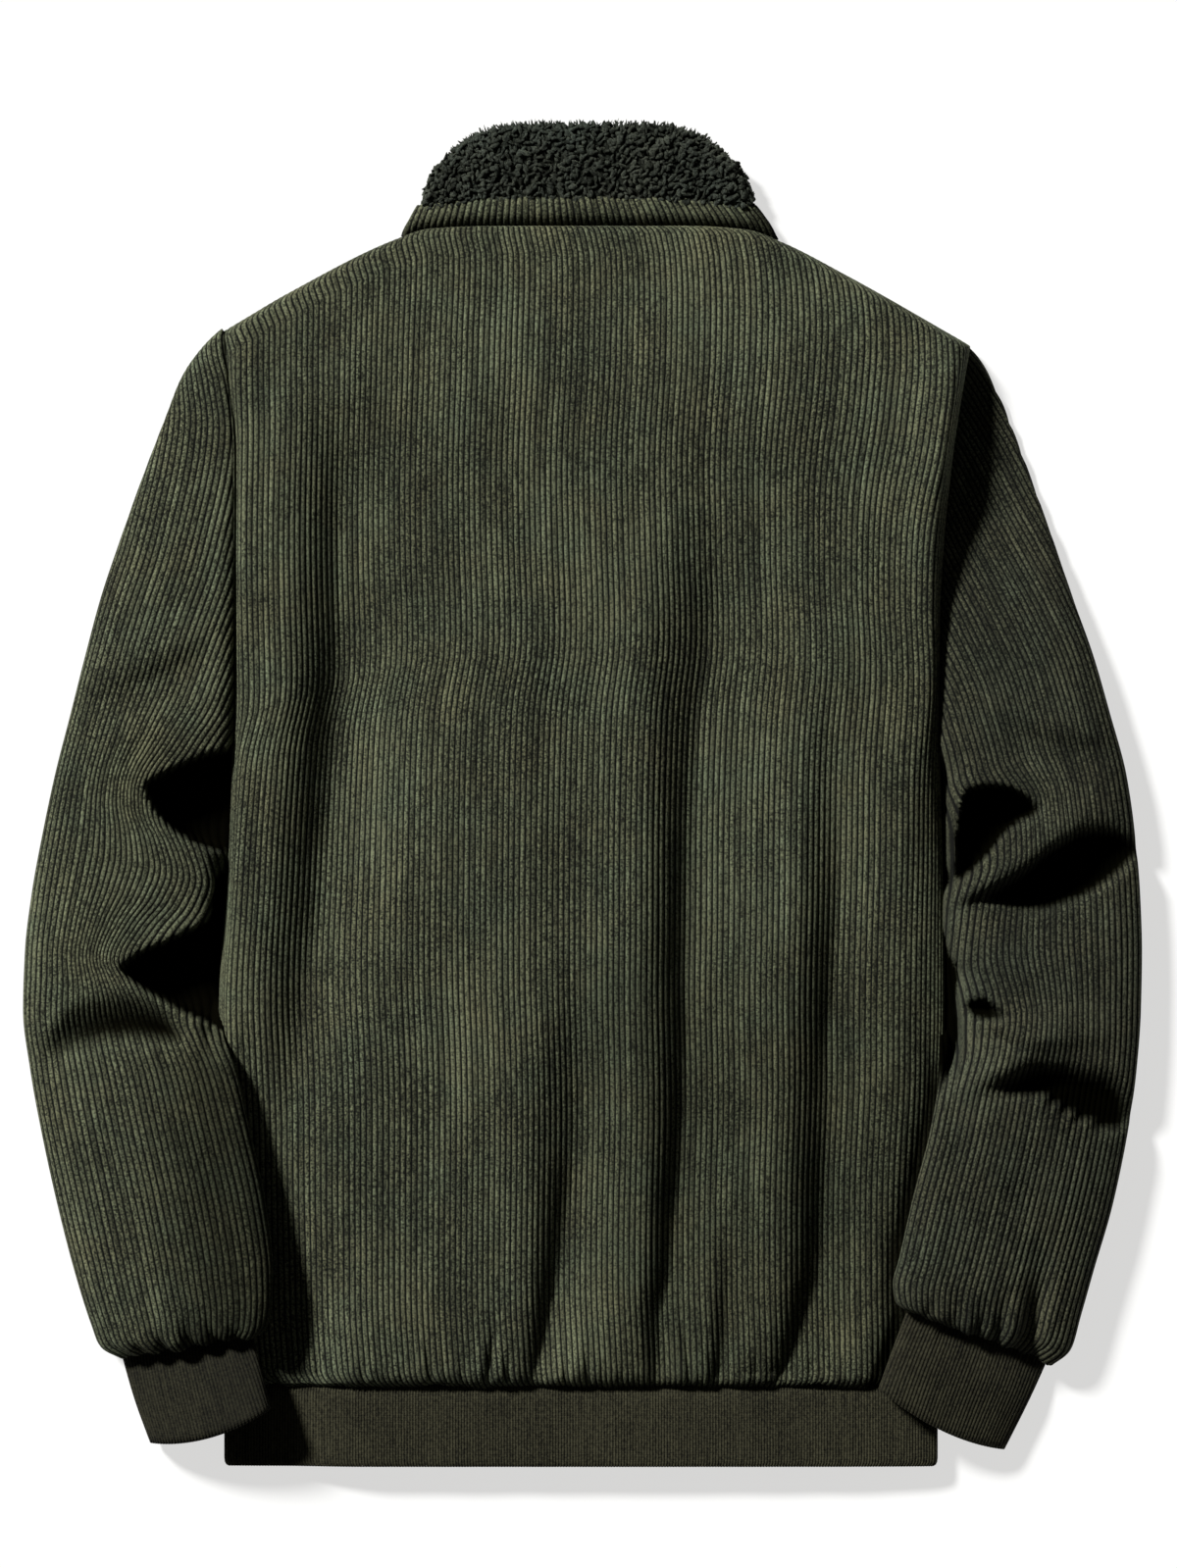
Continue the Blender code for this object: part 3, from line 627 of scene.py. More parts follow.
# Pile that lies in patches: where it leans toward the light it is pale, elsewhere dark.
pile, pile_in, pile_out = new_group(
    "patchy pile",
    (("Pale", "NodeSocketColor", (0.1, 0.1, 0.1, 1)), ("Deep", "NodeSocketColor", (0, 0, 0, 1)),
     ("Patch", "NodeSocketFloat", 22.0), ("Fibre", "NodeSocketFloat", 900.0)),
    (("Color", "NodeSocketColor"), ("Height", "NodeSocketFloat")))
here = own_places(pile)
patch = noise(pile, stretched(pile, here, (1.0, 0.5, 1.0)), pile_in.outputs["Patch"], 5.0, 0.68)
streaks = noise(pile, stretched(pile, here, (3.0, 1.0, 1.0)), 110.0, 3.0, 0.65)
fibre = noise(pile, here, pile_in.outputs["Fibre"], 4.0, 0.85)
lean = arithmetic(pile, "ADD", spread(pile, patch, 0.38, 0.62, 0.0, 0.36),
                  spread(pile, streaks, 0.36, 0.64, 0.0, 0.24))
lean = arithmetic(pile, "ADD", lean, spread(pile, fibre, 0.43, 0.59, -0.3, 0.74), clamp=True)
tinge = spread(pile, noise(pile, here, 26.0, 4.0, 0.65), 0.35, 0.65)
green = mixed(pile, tinge, (1.05, 0.99, 0.93, 1), (0.94, 1.01, 1.02, 1))
tinted = mixed(pile, 1.0, pile_in.outputs["Pale"], green, "MULTIPLY")
pile.links.new(mixed(pile, lean, pile_in.outputs["Deep"], tinted), pile_out.inputs["Color"])
pile.links.new(fibre, pile_out.inputs["Height"])

# Wales: pale crests and grooves darkened with painted shade, with every wale a little different
# from the next.
wales, wales_in, wales_out = new_group(
    "wales",
    (("Color", "NodeSocketColor", (0.1, 0.1, 0.1, 1)), ("Groove", "NodeSocketFloat", 0.3)),
    (("Color", "NodeSocketColor"),))
across_wales, _, on_wales = pattern_places(wales)
# Painted shade in the grooves between the wales.
groove = spread(wales, from_crest(wales, across_wales), 0.27, 0.4)
shade = arithmetic(wales, "SUBTRACT", 1.0, arithmetic(
    wales, "MULTIPLY", groove, arithmetic(wales, "SUBTRACT", 1.0, wales_in.outputs["Groove"])))
each = spread(wales, row_by_row(wales, on_wales, (0.9, 0.035, 1.0)), 0.3, 0.7, 0.66, 1.34)
shade = arithmetic(wales, "MULTIPLY", shade, each)
tone = add(wales, "ShaderNodeCombineColor", {"Red": shade, "Green": shade, "Blue": shade})
wales.links.new(mixed(wales, 1.0, wales_in.outputs["Color"], tone.outputs["Color"], "MULTIPLY"),
                wales_out.inputs["Color"])


def cloth_material(name, pale, deep, patch_size, fibre_size, groove_tone, sheen, bump):
    """Pile cloth, with painted shade in its grooves, in its folds and where it turns from the
    lamp.
    """
    material, tree, shader = surface(name, {
        "Roughness": 0.95, "Sheen Roughness": 0.45, "Sheen Tint": (0.55, 0.6, 0.42, 1)})
    nap = add(tree, "ShaderNodeGroup", {"Pale": pale, "Deep": deep, "Patch": patch_size,
                                        "Fibre": fibre_size}, node_tree=pile)
    ridged = add(tree, "ShaderNodeGroup", {"Color": nap.outputs["Color"],
                                           "Groove": groove_tone}, node_tree=wales)
    painted_shade_mask = add(tree, "ShaderNodeAttribute", {}, attribute_name="painted_shade").outputs["Fac"]
    # The painted shade's colour, mixed in where the surface is marked for it.
    painted_shade_colour = (deep[0] * 0.2, deep[1] * 0.16, deep[2] * 0.14, 1)
    tree.links.new(mixed(tree, painted_shade_mask, ridged.outputs["Color"], painted_shade_colour),
                   shader.inputs["Base Color"])
    relief(tree, shader, nap.outputs["Height"], bump, 0.0006)
    # Gloss and sheen fade out under the painted shade.
    for socket, most in (("Specular IOR Level", 0.15), ("Sheen Weight", sheen)):
        tree.links.new(spread(tree, painted_shade_mask, 0.0, 1.0, most, 0.0), shader.inputs[socket])
    return material


corduroy = cloth_material("corduroy", (0.118, 0.128, 0.077, 1), (0.008, 0.009, 0.005, 1),
                          22.0, 760.0, 0.04, 0.03, 0.8)

wale_of, ridge = wale_columns(BACK_WALES)
across = wale_of / BACK_WALES
lifts = np.concatenate((np.linspace(0, 0.03, 10)[:-1], np.linspace(0.03, 0.09, 14)[:-1],
                        np.linspace(0.09, 1.0, 58)))
rolls = BACK_TOP_ROLL * (1 - np.sin(np.pi / 2 * np.linspace(0, 1, 6)[1:]))
grid = []
for fraction, from_top in [(lift, None) for lift in lifts] + [(1.0, roll) for roll in rolls]:
    x, y = back_row(fraction, from_top, across)
    x = x + 0.4 * drift(x * 0.3, y, 110.0, 5.0) * rounded(np.minimum(x + 200, 200 - x), 40.0)
    y = y + 1.3 * drift(x, y * 0, 24.0, 2.0) * (1 - ease((y - HEM_JOIN) / 14.0))
    grid.append(np.stack((x, y, back_height(x, y)), axis=-1))
grid = np.array(grid)
back = sew("back_cloth", grid, CLOTH, corduroy, wale_of, grid[..., 1] / WALE_PITCH, ridge,
           back_painted_shade(grid[..., 0], grid[..., 1]))
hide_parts("back")


# ---------------------------------------------------------------- sleeves
# Two set-in sleeves of the same corduroy, flattened tubes cut along the armhole, with wales
# that run down to the cuff.  Both are pushed up at the elbow, so deep folds break across them.
SLEEVE_WALES = 36              # over the upper side; as many again run underneath
UNDER_SECTION = ((0.0, 0.0), (0.5, 1.0))
SLEEVE_TOP_POWER = 2.8         # squareness of the section over the top: 2 is an ellipse
SLEEVE_UNDER_POWER = 4.5
SLEEVE_THINNEST = 5.0
SEAM_ROLL = 9.0                # how far beside the armhole seam the cloth is drawn down
INNER_ROLL = 14.0              # how far the cloth takes to turn down beside the body
END_PUFF = 7.0                 # length of the turn-in where a sleeve meets its cuff
SECTION_STEP = 33.0            # cloth from one section to the next
END_STEP = 11.0                # and between the crowded sections at the cuff
RING_POINTS = 400              # over a tube, and as many again under it
SLEEVE_SECTIONS = {
    "left": (
        # outer_x, outer_y, inner_x, inner_y, high_outer, high_inner
        (-150, 296, -40, 270, 26, 28),
        (-190, 271, -80, 243, 26, 29),
        (-212, 252, -104, 222, 26, 30),
        (-224, 235, -118, 204, 27, 31),
        (-234, 210, -130, 178, 28, 33),
        (-247, 176, -144, 144, 29, 35),
        (-258.5, 143.6, -157, 112, 30, 36),
        (-269.5, 110.6, -170, 78, 31, 36),
        (-278.3, 77.6, -181, 44, 32, 36),
        (-286.6, 44.6, -191, 10, 33, 36),
        (-295, 11.6, -197.2, -22, 34, 36),
        (-302, -21.5, -198.3, -50, 34, 36),
        (-308, -54.5, -200.3, -78, 34, 37),
        (-311.9, -87.5, -202.4, -104, 34, 39),
        (-313, -120.5, -202, -130, 33, 43),
        (-309, -153.5, -194, -155, 34, 46),
        (-303, -186.5, -187, -186, 36, 48),
        (-294, -228, -178.5, -226, 36, 50),
        (-284, -267, -174, -263, 36, 51),
        (-275, -296, -174.5, -281, 34, 52),
        (-270, -308.5, -176, -294, 31, 51),
        (-259, -315, -180.5, -301.5, 26, 48),
    ),
    "right": (
        (160, 292, 60, 262, 7, 7),
        (200, 264, 98, 234, 7, 7),
        (221, 247, 122, 214, 7, 7),
        (232, 228, 134, 194, 7, 7),
        (241, 206, 144, 172, 8, 8.5),
        (252, 176.6, 156, 140, 8.5, 9.5),
        (263.5, 143.6, 169, 106, 15, 18),
        (274.5, 110.6, 182, 72, 23, 27),
        (286, 77.6, 194, 38, 27, 30),
        (295.4, 44.6, 199.8, 6, 29, 31),
        (304.2, 11.6, 199.8, -24, 30, 32),
        (309, -21.5, 201, -52, 30, 33),
        (311.9, -54.5, 201.6, -80, 30, 33),
        (313, -87.5, 201.7, -106, 30, 35),
        (312.4, -120.5, 201.5, -132, 30, 38),
        (310, -153.5, 200.5, -156, 30, 43),
        (305.5, -186, 195.5, -187, 30, 46),
        (296.5, -230, 185.5, -226, 30, 47),
        (286.5, -264.5, 178, -259, 30, 47),
        (279, -291, 174.5, -273, 30, 47),
        (273, -311, 176, -283, 28, 45),
        (263, -319.5, 182, -288, 24, 41),
    ),
}
# Along the sections: how far the wales crowd outward round the pits, and by how many wales
# the tube is turned about itself near the shoulder.
WALE_COURSE = {
    "left": (
        # section, crowding, turned
        (0, 0, 26),
        (1.5, 0, 18),
        (2, 0, 14.5),
        (3, 0, 8.5),
        (4, 0, 4),
        (5, 0, 1.5),
        (6.5, 0, 0),
        (8, 0.2, 0),
        (8.8, 0.8, 0),
        (9.7, 1.6, 0),
        (10.1, 1.4, 0),
        (10.6, 0.6, 0),
        (11.1, 0.2, 0),
        (11.6, 0.5, 0),
        (12.2, 1.3, 0),
        (12.9, 1.9, 0),
        (13.3, 1.4, 0),
        (13.8, 0.6, 0),
        (14.5, 0.1, 0),
        (15.5, 0, 0),
        (21, 0, 0),
    ),
    "right": (
        (0, 0, -7),
        (3, 0, -5.5),
        (5, 0, -3),
        (8, 0.1, 0),
        (9, 0.3, 0),
        (10, 1.3, 0),
        (10.8, 1.2, 0),
        (11.5, 0.5, 0),
        (12.6, 0.2, 0),
        (13.4, 0.6, 0),
        (13.9, 0.8, 0),
        (14.4, 0.5, 0),
        (14.9, 0.2, 0),
        (15.4, 0, 0),
        (21, 0, 0),
    ),
}
# Low cloth between a sleeve and the body's side.
SIDE_LIP = {
    "left": (
        # y,    width
        (-160, 1),
        (-60, 2),
        (60, 1.5),
    ),
    "right": (
        (-168, 1),
        (-158, 4),
        (-148, 8),
        (-133, 11),
        (-117, 9.5),
        (-101, 10.5),
        (-88, 5.5),
        (-72, 1.5),
        (-58, 2),
        (-47, 7),
        (-34, 5),
        (10, 5),
        (24, 1.5),
        (60, 1.5),
    ),
}
# The armhole seams, as upright planes: a point on each and its direction into the body.
ARMHOLE_CUTS = {
    "left": ((-196.1, 0.0, 1.0, 0.0), (-196.1, 193.0, 1.0, 0.087)),
    "right": ((200.7, 0.0, -1.0, 0.0), (200.7, 116.0, -1.0, 0.097), (208.1, 193.0, -1.0, 0.155)),
}
ARMHOLE_LOWEST = {"left": -20.0, "right": -4.0}    # the cuts reach down to here
# Pits of the folded elbow, each with the width of its upper and lower wall and then, from the
# tip to the mouth, its upper and lower rim.
PITS = (
    (3.5, 6.0, (   # left, upper
        # x,     top_y, low_y, depth
        (-246.5, 4, 4, 0),
        (-243.5, 9, -3, 13),
        (-239, 11.5, -11, 21),
        (-226.6, 17.5, -24, 27),
        (-211.7, 23.5, -31.5, 30),
        (-196, 27, -35, 30),
    )),
    (3.5, 6.0, (   # left, lower
        (-261, -98.5, -98.5, 0),
        (-257.5, -94, -102, 12),
        (-247, -86.5, -110.5, 21),
        (-234, -81, -118, 28),
        (-221.7, -75, -124.7, 30),
        (-211.7, -69, -129, 30),
        (-208.3, -60, -131, 30),
        (-205.5, -43, -132.5, 30),
        (-196, -39.5, -138, 30),
    )),
    (5.0, 6.0, (   # right, below the sleeve's head
        (260, -9, -9, 0),
        (254, -3, -13.5, 13),
        (247, 2.5, -16.5, 22),
        (237, 6.5, -23.5, 26),
        (227.5, 7, -35.5, 26),
        (215.5, 4, -47, 24),
        (211, -12, -50, 18),
        (208, -44, -50, 0),
    )),
    (3.0, 4.0, (   # right, a small one at the crook
        (241, -125, -125, 0),
        (232, -117, -128, 9),
        (222, -112.5, -127, 14),
        (215.5, -115, -122.5, 8),
        (212, -118, -118, 0),
    )),
    (10.0, 10.0, (   # right, across the elbow
        (214.5, -60.5, -60.5, 0),
        (228, -50.5, -65, 9),
        (248, -38.5, -69, 14),
        (258, -30, -68.5, 16),
        (272, -21.5, -64.5, 17),
        (280, -17.5, -61.5, 17),
        (296, -16.5, -51.5, 15),
        (307.5, -20, -42, 11),
        (318, -26, -32, 4),
    )),
    (16.0, 4.0, (   # right, across the forearm
        (216, -168, -168, 0),
        (229.6, -157, -168, 9),
        (241, -151, -168.5, 12),
        (254, -146, -169.5, 13),
        (268, -146, -177, 14),
        (285, -149, -186, 14),
        (298, -153, -188.5, 12),
        (309, -166, -182, 5),
        (316, -174, -174, 0),
    )),
    (22.0, 15.0, (   # left, soft, below the lower pit
        (-310, -141, -141, 0),
        (-298, -126, -156, 6),
        (-283, -112, -149, 9),
        (-266, -107, -145, 10.5),
        (-249, -106, -144, 11),
        (-235, -110, -145, 12),
        (-226, -118, -147, 10),
        (-212, -136, -136, 0),
    )),
)
# Folds with a raised crest that falls away on its lower side, and a slow climb after that.
CRESTS = (
    (   # right, across the elbow
        # x,     y,     rise, fall, steep, climb_from, climb_to
        (204, -60, 0, 0, 8, 14, 40),
        (219.5, -52, 4, 3, 8, 16, 46),
        (243.7, -38.5, 6, 3, 10, 22, 60),
        (265.7, -22, 5, 3, 12, 32, 72),
        (284, -12, 3, 2, 12, 32, 72),
        (300, -10, 1, 1, 10, 24, 60),
        (316, -12, 0, 0, 8, 18, 50),
    ),
    (   # right, across the forearm
        (208, -166, 0, 0, 8, 12, 30),
        (228, -156, 4, 0, 8, 12, 34),
        (244, -149, 4.5, 0, 8, 14, 40),
        (260, -144, 3, 0, 9, 18, 46),
        (280, -143, 0, 0, 9, 20, 48),
    ),
    (   # right, a drag line above the forearm's fold
        (214, -112, 0, 0, 9, 14, 30),
        (232, -128, 2.5, 2, 9, 14, 30),
        (256, -136, 2.5, 2.5, 9, 14, 30),
        (286, -134, 1, 1, 9, 14, 30),
        (308, -130, 0, 0, 9, 14, 30),
    ),
    (   # right, a soft drag line on the upper arm
        (222, 60, 0, 0, 14, 18, 40),
        (250, 44, 2, 3, 14, 18, 40),
        (280, 36, 1.5, 2.5, 14, 18, 40),
        (304, 34, 0, 0, 14, 18, 40),
    ),
    (   # left, a soft drag line on the upper arm
        (-286, 62, 0, 0, 14, 18, 42),
        (-262, 70, 1.5, 2.5, 14, 18, 42),
        (-226, 84, 1.5, 2.5, 14, 18, 42),
        (-204, 92, 0, 0, 14, 18, 42),
    ),
)
# Deep puckers where a sleeve is gathered into its cuff.
PUCKERS = {
    "left": (
        # x,     length, width, depth
        (-247, 14, 3, 2.5),
        (-233, 18, 3, 3),
        (-219, 22, 3.5, 4),
        (-206, 26, 3.5, 4.5),
        (-194, 20, 3, 3.5),
    ),
    "right": (
        (190, 16, 3, 3),
        (203, 14, 3, 2.5),
        (219, 20, 3, 3.5),
        (231, 30, 4, 5),
        (250, 44, 7, 10),
    ),
}
# Where each sleeve climbs onto the body, and the height of what it then lies on.
CLIMB = {"left": (-112.0, 22.0), "right": (-128.0, 24.0)}
# Painted shade where the cloth turns from the lamp: low on the left sleeve, and on the right cuff.
LEFT_SLEEVE_SHADE, RIGHT_CUFF_SHADE = 0.62, 0.4
PIT_DARK = 12.0                # a pit this deep gets its full painted shade
BESIDE_BODY_FROM = 30.0        # the lip beside the body starts here, and
BESIDE_BODY_TO = {"left": -152.0, "right": -174.0}    # ends here
CLIMB_OUT = 9.0
CLIMB_IN = 2.0
BODY_INSET = 2.0               # the body's height beside its edge is taken this far inside it
CLEAR = 2.4                    # between the faces of two cloths, so that their wales just meet


def pit_drop(x, y):
    """How far the elbow's pits go down at a point."""
    drop = np.zeros_like(x)
    for top_wall, low_wall, rows in PITS:
        low_x, high_x = sorted((rows[0][0], rows[-1][0]))
        top, low, depth = np.moveaxis(follow(rows, x), -1, 0)
        inside = ease((top - y) / top_wall) * ease((y - low) / low_wall)
        near = (x * rows[0][0] > 0) & (x > low_x - 6) & (x < high_x + 6)
        drop = np.maximum(drop, np.where(near, depth * inside, 0.0))
    return drop


def crest_rise(x, y):
    """How far the one-sided folds lift or lower a point."""
    change = np.zeros_like(x)
    for rows in CRESTS:
        low_x, high_x = sorted((rows[0][0], rows[-1][0]))
        crest, rise, fall, steep, climb_from, climb_to = np.moveaxis(follow(rows, x), -1, 0)
        below = crest - y
        above = rise * np.exp(-((np.minimum(below, 0) / 15.0) ** 2))
        down = (rise + fall) * ease(below / steep)
        back_up = fall * ease((below - climb_from) / (climb_to - climb_from))
        near = (x > low_x) & (x < high_x)
        change = change + np.where(near, above - down + back_up, 0.0)
    return change


def underside(side, x, y):
    """Lower surface of a sleeve: the floor, or just above the body where it lies on it."""
    start, length = CLIMB[side]
    if np.min(y) > start:
        return np.zeros_like(x)
    left, right = follow(BODY_SIDES, y)[..., 0], follow(BODY_SIDES, y)[..., 1]
    inside = x - left if side == "left" else right - x
    over = ease((start - y) / length) * ease((inside + CLIMB_OUT) / (CLIMB_OUT + CLIMB_IN))
    body = back_height(np.clip(x, left + BODY_INSET, right - BODY_INSET),
                       np.maximum(y, HEM_JOIN + HEM_ROLL))
    return (np.maximum(body, HEM_HEIGHT * hem_level(x)) + CLEAR) * over


def painted_slope_shade(x, y):
    """Painted shade low on the left sleeve and on both cuffs, where they turn from the lamp."""
    along_left = ease((-122.0 - y) / 34.0) * (x < 0)
    start = -260.0 + 10.0 * ease((-262.0 - y) / 24.0)
    across_left = LEFT_SLEEVE_SHADE * ease((x - start) / 54.0)
    right_cuff = RIGHT_CUFF_SHADE * ease((x - 205.0) / 45.0) * ease((-300.0 - y) / 20.0)
    return np.maximum(across_left * along_left, right_cuff)


def bulge(across, power):
    """Section of a flattened tube: 0 at its two folds, 1 in the middle."""
    return (1 - np.abs(2 * across - 1) ** power) ** (1 / power)


def tube_spots(side, section, across, on_top, lift=0.0, sink=0.0, bow=0.0, folded=False):
    """Spots on one ring of a flattened tube, and the painted shade at each.

    `across` are fractions of its width.  `lift` raises its floor, `sink` lowers its top and
    `bow` bends it toward the hem.  A folded ring has the sleeve's pits and crests.
    """
    outer_x, outer_y, inner_x, inner_y, high_outer, high_inner = section
    x = outer_x + (inner_x - outer_x) * across
    y = outer_y + (inner_y - outer_y) * across - bow * 4 * across * (1 - across)
    low = np.maximum(underside(side, x, y) + lift, WALE_HIGH)
    high = high_outer + (high_inner - high_outer) * across - sink
    drop = pit_drop(x, y) if folded else np.zeros_like(x)
    if folded:
        high = high - drop + crest_rise(x, y)
    high = np.maximum(high, low + SLEEVE_THINNEST)
    middle = (high + low) / 2
    # Painted shade in the pits, and where the cloth turns from the lamp.
    painted_shade = np.where(on_top, np.maximum(ease(drop / PIT_DARK), painted_slope_shade(x, y)), 0.0)
    if folded:
        width = math.hypot(inner_x - outer_x, inner_y - outer_y)
        from_lip = (1 - across) * width - follow(SIDE_LIP[side], y)[..., 0]
        beside = ease((BESIDE_BODY_FROM - y) / 12.0) * ease((y - BESIDE_BODY_TO[side]) / 24.0)
        tuck = (1 - rounded(from_lip, INNER_ROLL)) * beside
        middle = middle + (low + SLEEVE_THINNEST / 2 - middle) * tuck
        high = high + (low + SLEEVE_THINNEST - high) * tuck
        # Painted shade in the low lip beside the body, and over the tucked cloth beneath it.
        painted_shade = np.maximum(painted_shade, ease(-from_lip / 2.0) * beside)
        painted_shade = np.where(on_top, painted_shade, ease(2 * tuck))
    z = np.where(on_top, middle + (high - middle) * bulge(across, SLEEVE_TOP_POWER),
                 middle - (middle - low) * bulge(across, SLEEVE_UNDER_POWER))
    return np.stack((x, y, z), axis=-1), painted_shade


def tube_round(side, section):
    """Fractions of the width once round a tube, the cloth's length to each, and over its top."""
    half = swing(RING_POINTS)
    across = np.concatenate((half, half[::-1]))
    spots, _ = tube_spots(side, section, across, np.arange(2 * RING_POINTS) < RING_POINTS)
    length = run_of(np.sqrt((np.diff(spots, axis=0) ** 2).sum(axis=1)))
    return across, length, length[RING_POINTS - 1]


def make_sleeve(side, cloth):
    """A corduroy tube from the armhole to the cuff."""
    sections = SLEEVE_SECTIONS[side]
    keyed = [(k, *section) for k, section in enumerate(sections)]
    last = len(sections) - 1
    edge = -1 if side == "left" else 1
    over, over_ridges = wale_columns(SLEEVE_WALES)
    under, under_ridges = wale_columns(SLEEVE_WALES, UNDER_SECTION)
    wale_of = np.concatenate((over, under[1:] + SLEEVE_WALES))
    heights = np.concatenate((over_ridges, under_ridges[1:]))
    over, under = over / SLEEVE_WALES, under[1:] / SLEEVE_WALES
    grid, painted_shades = [], []
    rows = np.concatenate((np.arange(0.8, 8.5, 0.14), np.arange(8.5, 14.5, 0.075),
                           np.linspace(14.5, last, 46)))
    for k in rows:
        section = follow(keyed, k)
        crowd, turned = follow(WALE_COURSE[side], k)
        across, length, over_top = tube_round(side, section)
        even = over - crowd * over ** 3 * (1 - over)
        along = np.concatenate((even * over_top, over_top + under * (length[-1] - over_top)))
        along = (along - turned * WALE_PITCH) % length[-1]
        on_top = along < over_top
        spots, painted_shade = tube_spots(side, section, np.interp(along, length, across), on_top,
                                   folded=True)
        x, y, z = spots[:, 0], spots[:, 1], spots[:, 2]
        upper = bulge(np.interp(along, length, across), SLEEVE_TOP_POWER) * on_top
        left, right, seam_left, seam_right = follow(BODY_SIDES, y)[:, :4].T
        from_seam = left - x if edge < 0 else x - right
        drawn = (1 - rounded(from_seam, SEAM_ROLL)) * ease((y - 12.0) / 18.0) * upper
        z += (np.maximum(seam_left if edge < 0 else seam_right, 9.0) - 1.0 - z) * drawn
        from_end = (last - k) * END_STEP
        turn_in = 1 - rounded(from_end, END_PUFF)
        lumps = drift(wale_of * WALE_PITCH, x * 0, 17.0, 4.0 - edge) * upper
        fade = ease((30.0 - from_end) / 22.0)
        z -= (5.0 * turn_in + 1.4 * fade * (1 + lumps)) * upper
        y += 1.6 * fade * lumps
        for x_at, length, width, depth in PUCKERS[side]:
            from_it = x - x_at - edge * 0.2 * from_end
            puff = ease((length - from_end) / (0.8 * length))
            z -= depth * puff * np.exp(-((from_it / width) ** 2)) * upper
            y += 0.25 * depth * puff * np.exp(-((from_it / width) ** 2)) * upper
        z += 0.35 * drift(x, y, 34.0, 6.0) * upper
        grid.append(np.stack((x, y, z), axis=-1))
        painted_shades.append(painted_shade)
    piece = sew("sleeve_%s_cloth" % side, grid, CLOTH, cloth, wale_of,
                rows * SECTION_STEP / WALE_PITCH, heights, painted_shades, tube=True, turned=edge < 0,
                cuts=ARMHOLE_CUTS[side], cut_above=ARMHOLE_LOWEST[side])
    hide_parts("sleeve_" + side)


make_sleeve("left", corduroy)
# The right sleeve gets a darker copy of the corduroy: painted shade, for a sleeve that lies turned
# from the light.
shaded_corduroy = cloth_material("corduroy, painted darker", (0.069, 0.073, 0.046, 1),
                               (0.005, 0.006, 0.003, 1), 22.0, 760.0, 0.04, 0.03, 0.8)
make_sleeve("right", shaded_corduroy)


# ---------------------------------------------------------------- cuffs
# Each cuff is a doubled band of fine rib knit, sewn inside the gathered end of its sleeve.
RIB_HIGH = 0.42
RIB_SECTION = ((0.0, 0.0), (0.25, 0.8), (0.5, 1.0), (0.75, 0.8))
RIB_CLOTH = 2.2
CUFF_RIBS = 44                 # over the upper side of a cuff
CUFF_ROWS = 15
CUFF_BOW = 6.0
CUFF_STEP = 27.0               # cloth from one section to the next
CUFF_END_STEP = 22.0
CUFF_ROUNDING = 2.2
LOOP_PITCH = 1.3               # between the rows of the knit's loops
CUFF_SHADE = {"left": 0.45, "right": 0.22}    # painted shade on each, where it turns from the lamp
CUFFS = {
    "left": (
        # outer_x, outer_y, inner_x, inner_y, high_outer, high_inner
        (-260.5, -309, -187.5, -293.5, 9, 24),
        (-251.5, -339, -180, -321.5, 20, 40),
        (-242.5, -363.5, -174.8, -343.5, 24, 50),
    ),
    "right": (
        (263.5, -312.5, 184, -284, 9, 25),
        (249.3, -342.5, 173.8, -310.5, 17, 36),
        (236.7, -367.5, 165.8, -332.5, 17, 40),
    ),
}

# Knit: ribs crossed by the fine rows of its loops, with painted shade in the furrows between them.
knit, knit_in, knit_out = new_group(
    "rib knit",
    (("Pale", "NodeSocketColor", (0.1, 0.1, 0.1, 1)), ("Deep", "NodeSocketColor", (0, 0, 0, 1))),
    (("Color", "NodeSocketColor"), ("Height", "NodeSocketFloat")))
across_ribs, along_ribs, on_knit = pattern_places(knit)
rib = spread(knit, from_crest(knit, across_ribs), 0.2, 0.5, 1.0, 0.0)
row = spread(knit, from_crest(knit, along_ribs), 0.1, 0.5, 1.0, 0.0)
here = own_places(knit)
worn = noise(knit, here, 30.0, 4.0, 0.6)
fuzz = noise(knit, here, 620.0, 4.0, 0.8)
each = row_by_row(knit, on_knit, (0.8, 0.05, 1.0))
height = arithmetic(knit, "ADD", arithmetic(knit, "MULTIPLY", rib, 0.8),
                    arithmetic(knit, "MULTIPLY", row, 0.2))
level = arithmetic(knit, "ADD", arithmetic(knit, "MULTIPLY", height, 0.6),
                   spread(knit, fuzz, 0.4, 0.6, -0.25, 0.35))
level = arithmetic(knit, "ADD", level, spread(knit, each, 0.3, 0.7, -0.12, 0.12))
level = arithmetic(knit, "ADD", level, spread(knit, worn, 0.35, 0.65, -0.08, 0.12), clamp=True)
knit.links.new(mixed(knit, level, knit_in.outputs["Deep"], knit_in.outputs["Pale"]),
               knit_out.inputs["Color"])
knit.links.new(height, knit_out.inputs["Height"])

rib_knit, tree, shader = surface("rib_knit", {
    "Roughness": 0.9, "Specular IOR Level": 0.12, "Sheen Weight": 0.03, "Sheen Roughness": 0.4,
    "Sheen Tint": (0.5, 0.47, 0.36, 1)})
yarn = add(tree, "ShaderNodeGroup", {"Pale": (0.041, 0.039, 0.0220, 1),
                                     "Deep": (0.002, 0.0018, 0.0009, 1)}, node_tree=knit)
# Painted shade darkens the knit toward near black where the cloth is marked for it.
painted_shade_mask = add(tree, "ShaderNodeAttribute", {}, attribute_name="painted_shade").outputs["Fac"]
tree.links.new(mixed(tree, painted_shade_mask, yarn.outputs["Color"], (0.001, 0.001, 0.0006, 1)),
               shader.inputs["Base Color"])
relief(tree, shader, yarn.outputs["Height"], 0.6, 0.0004)


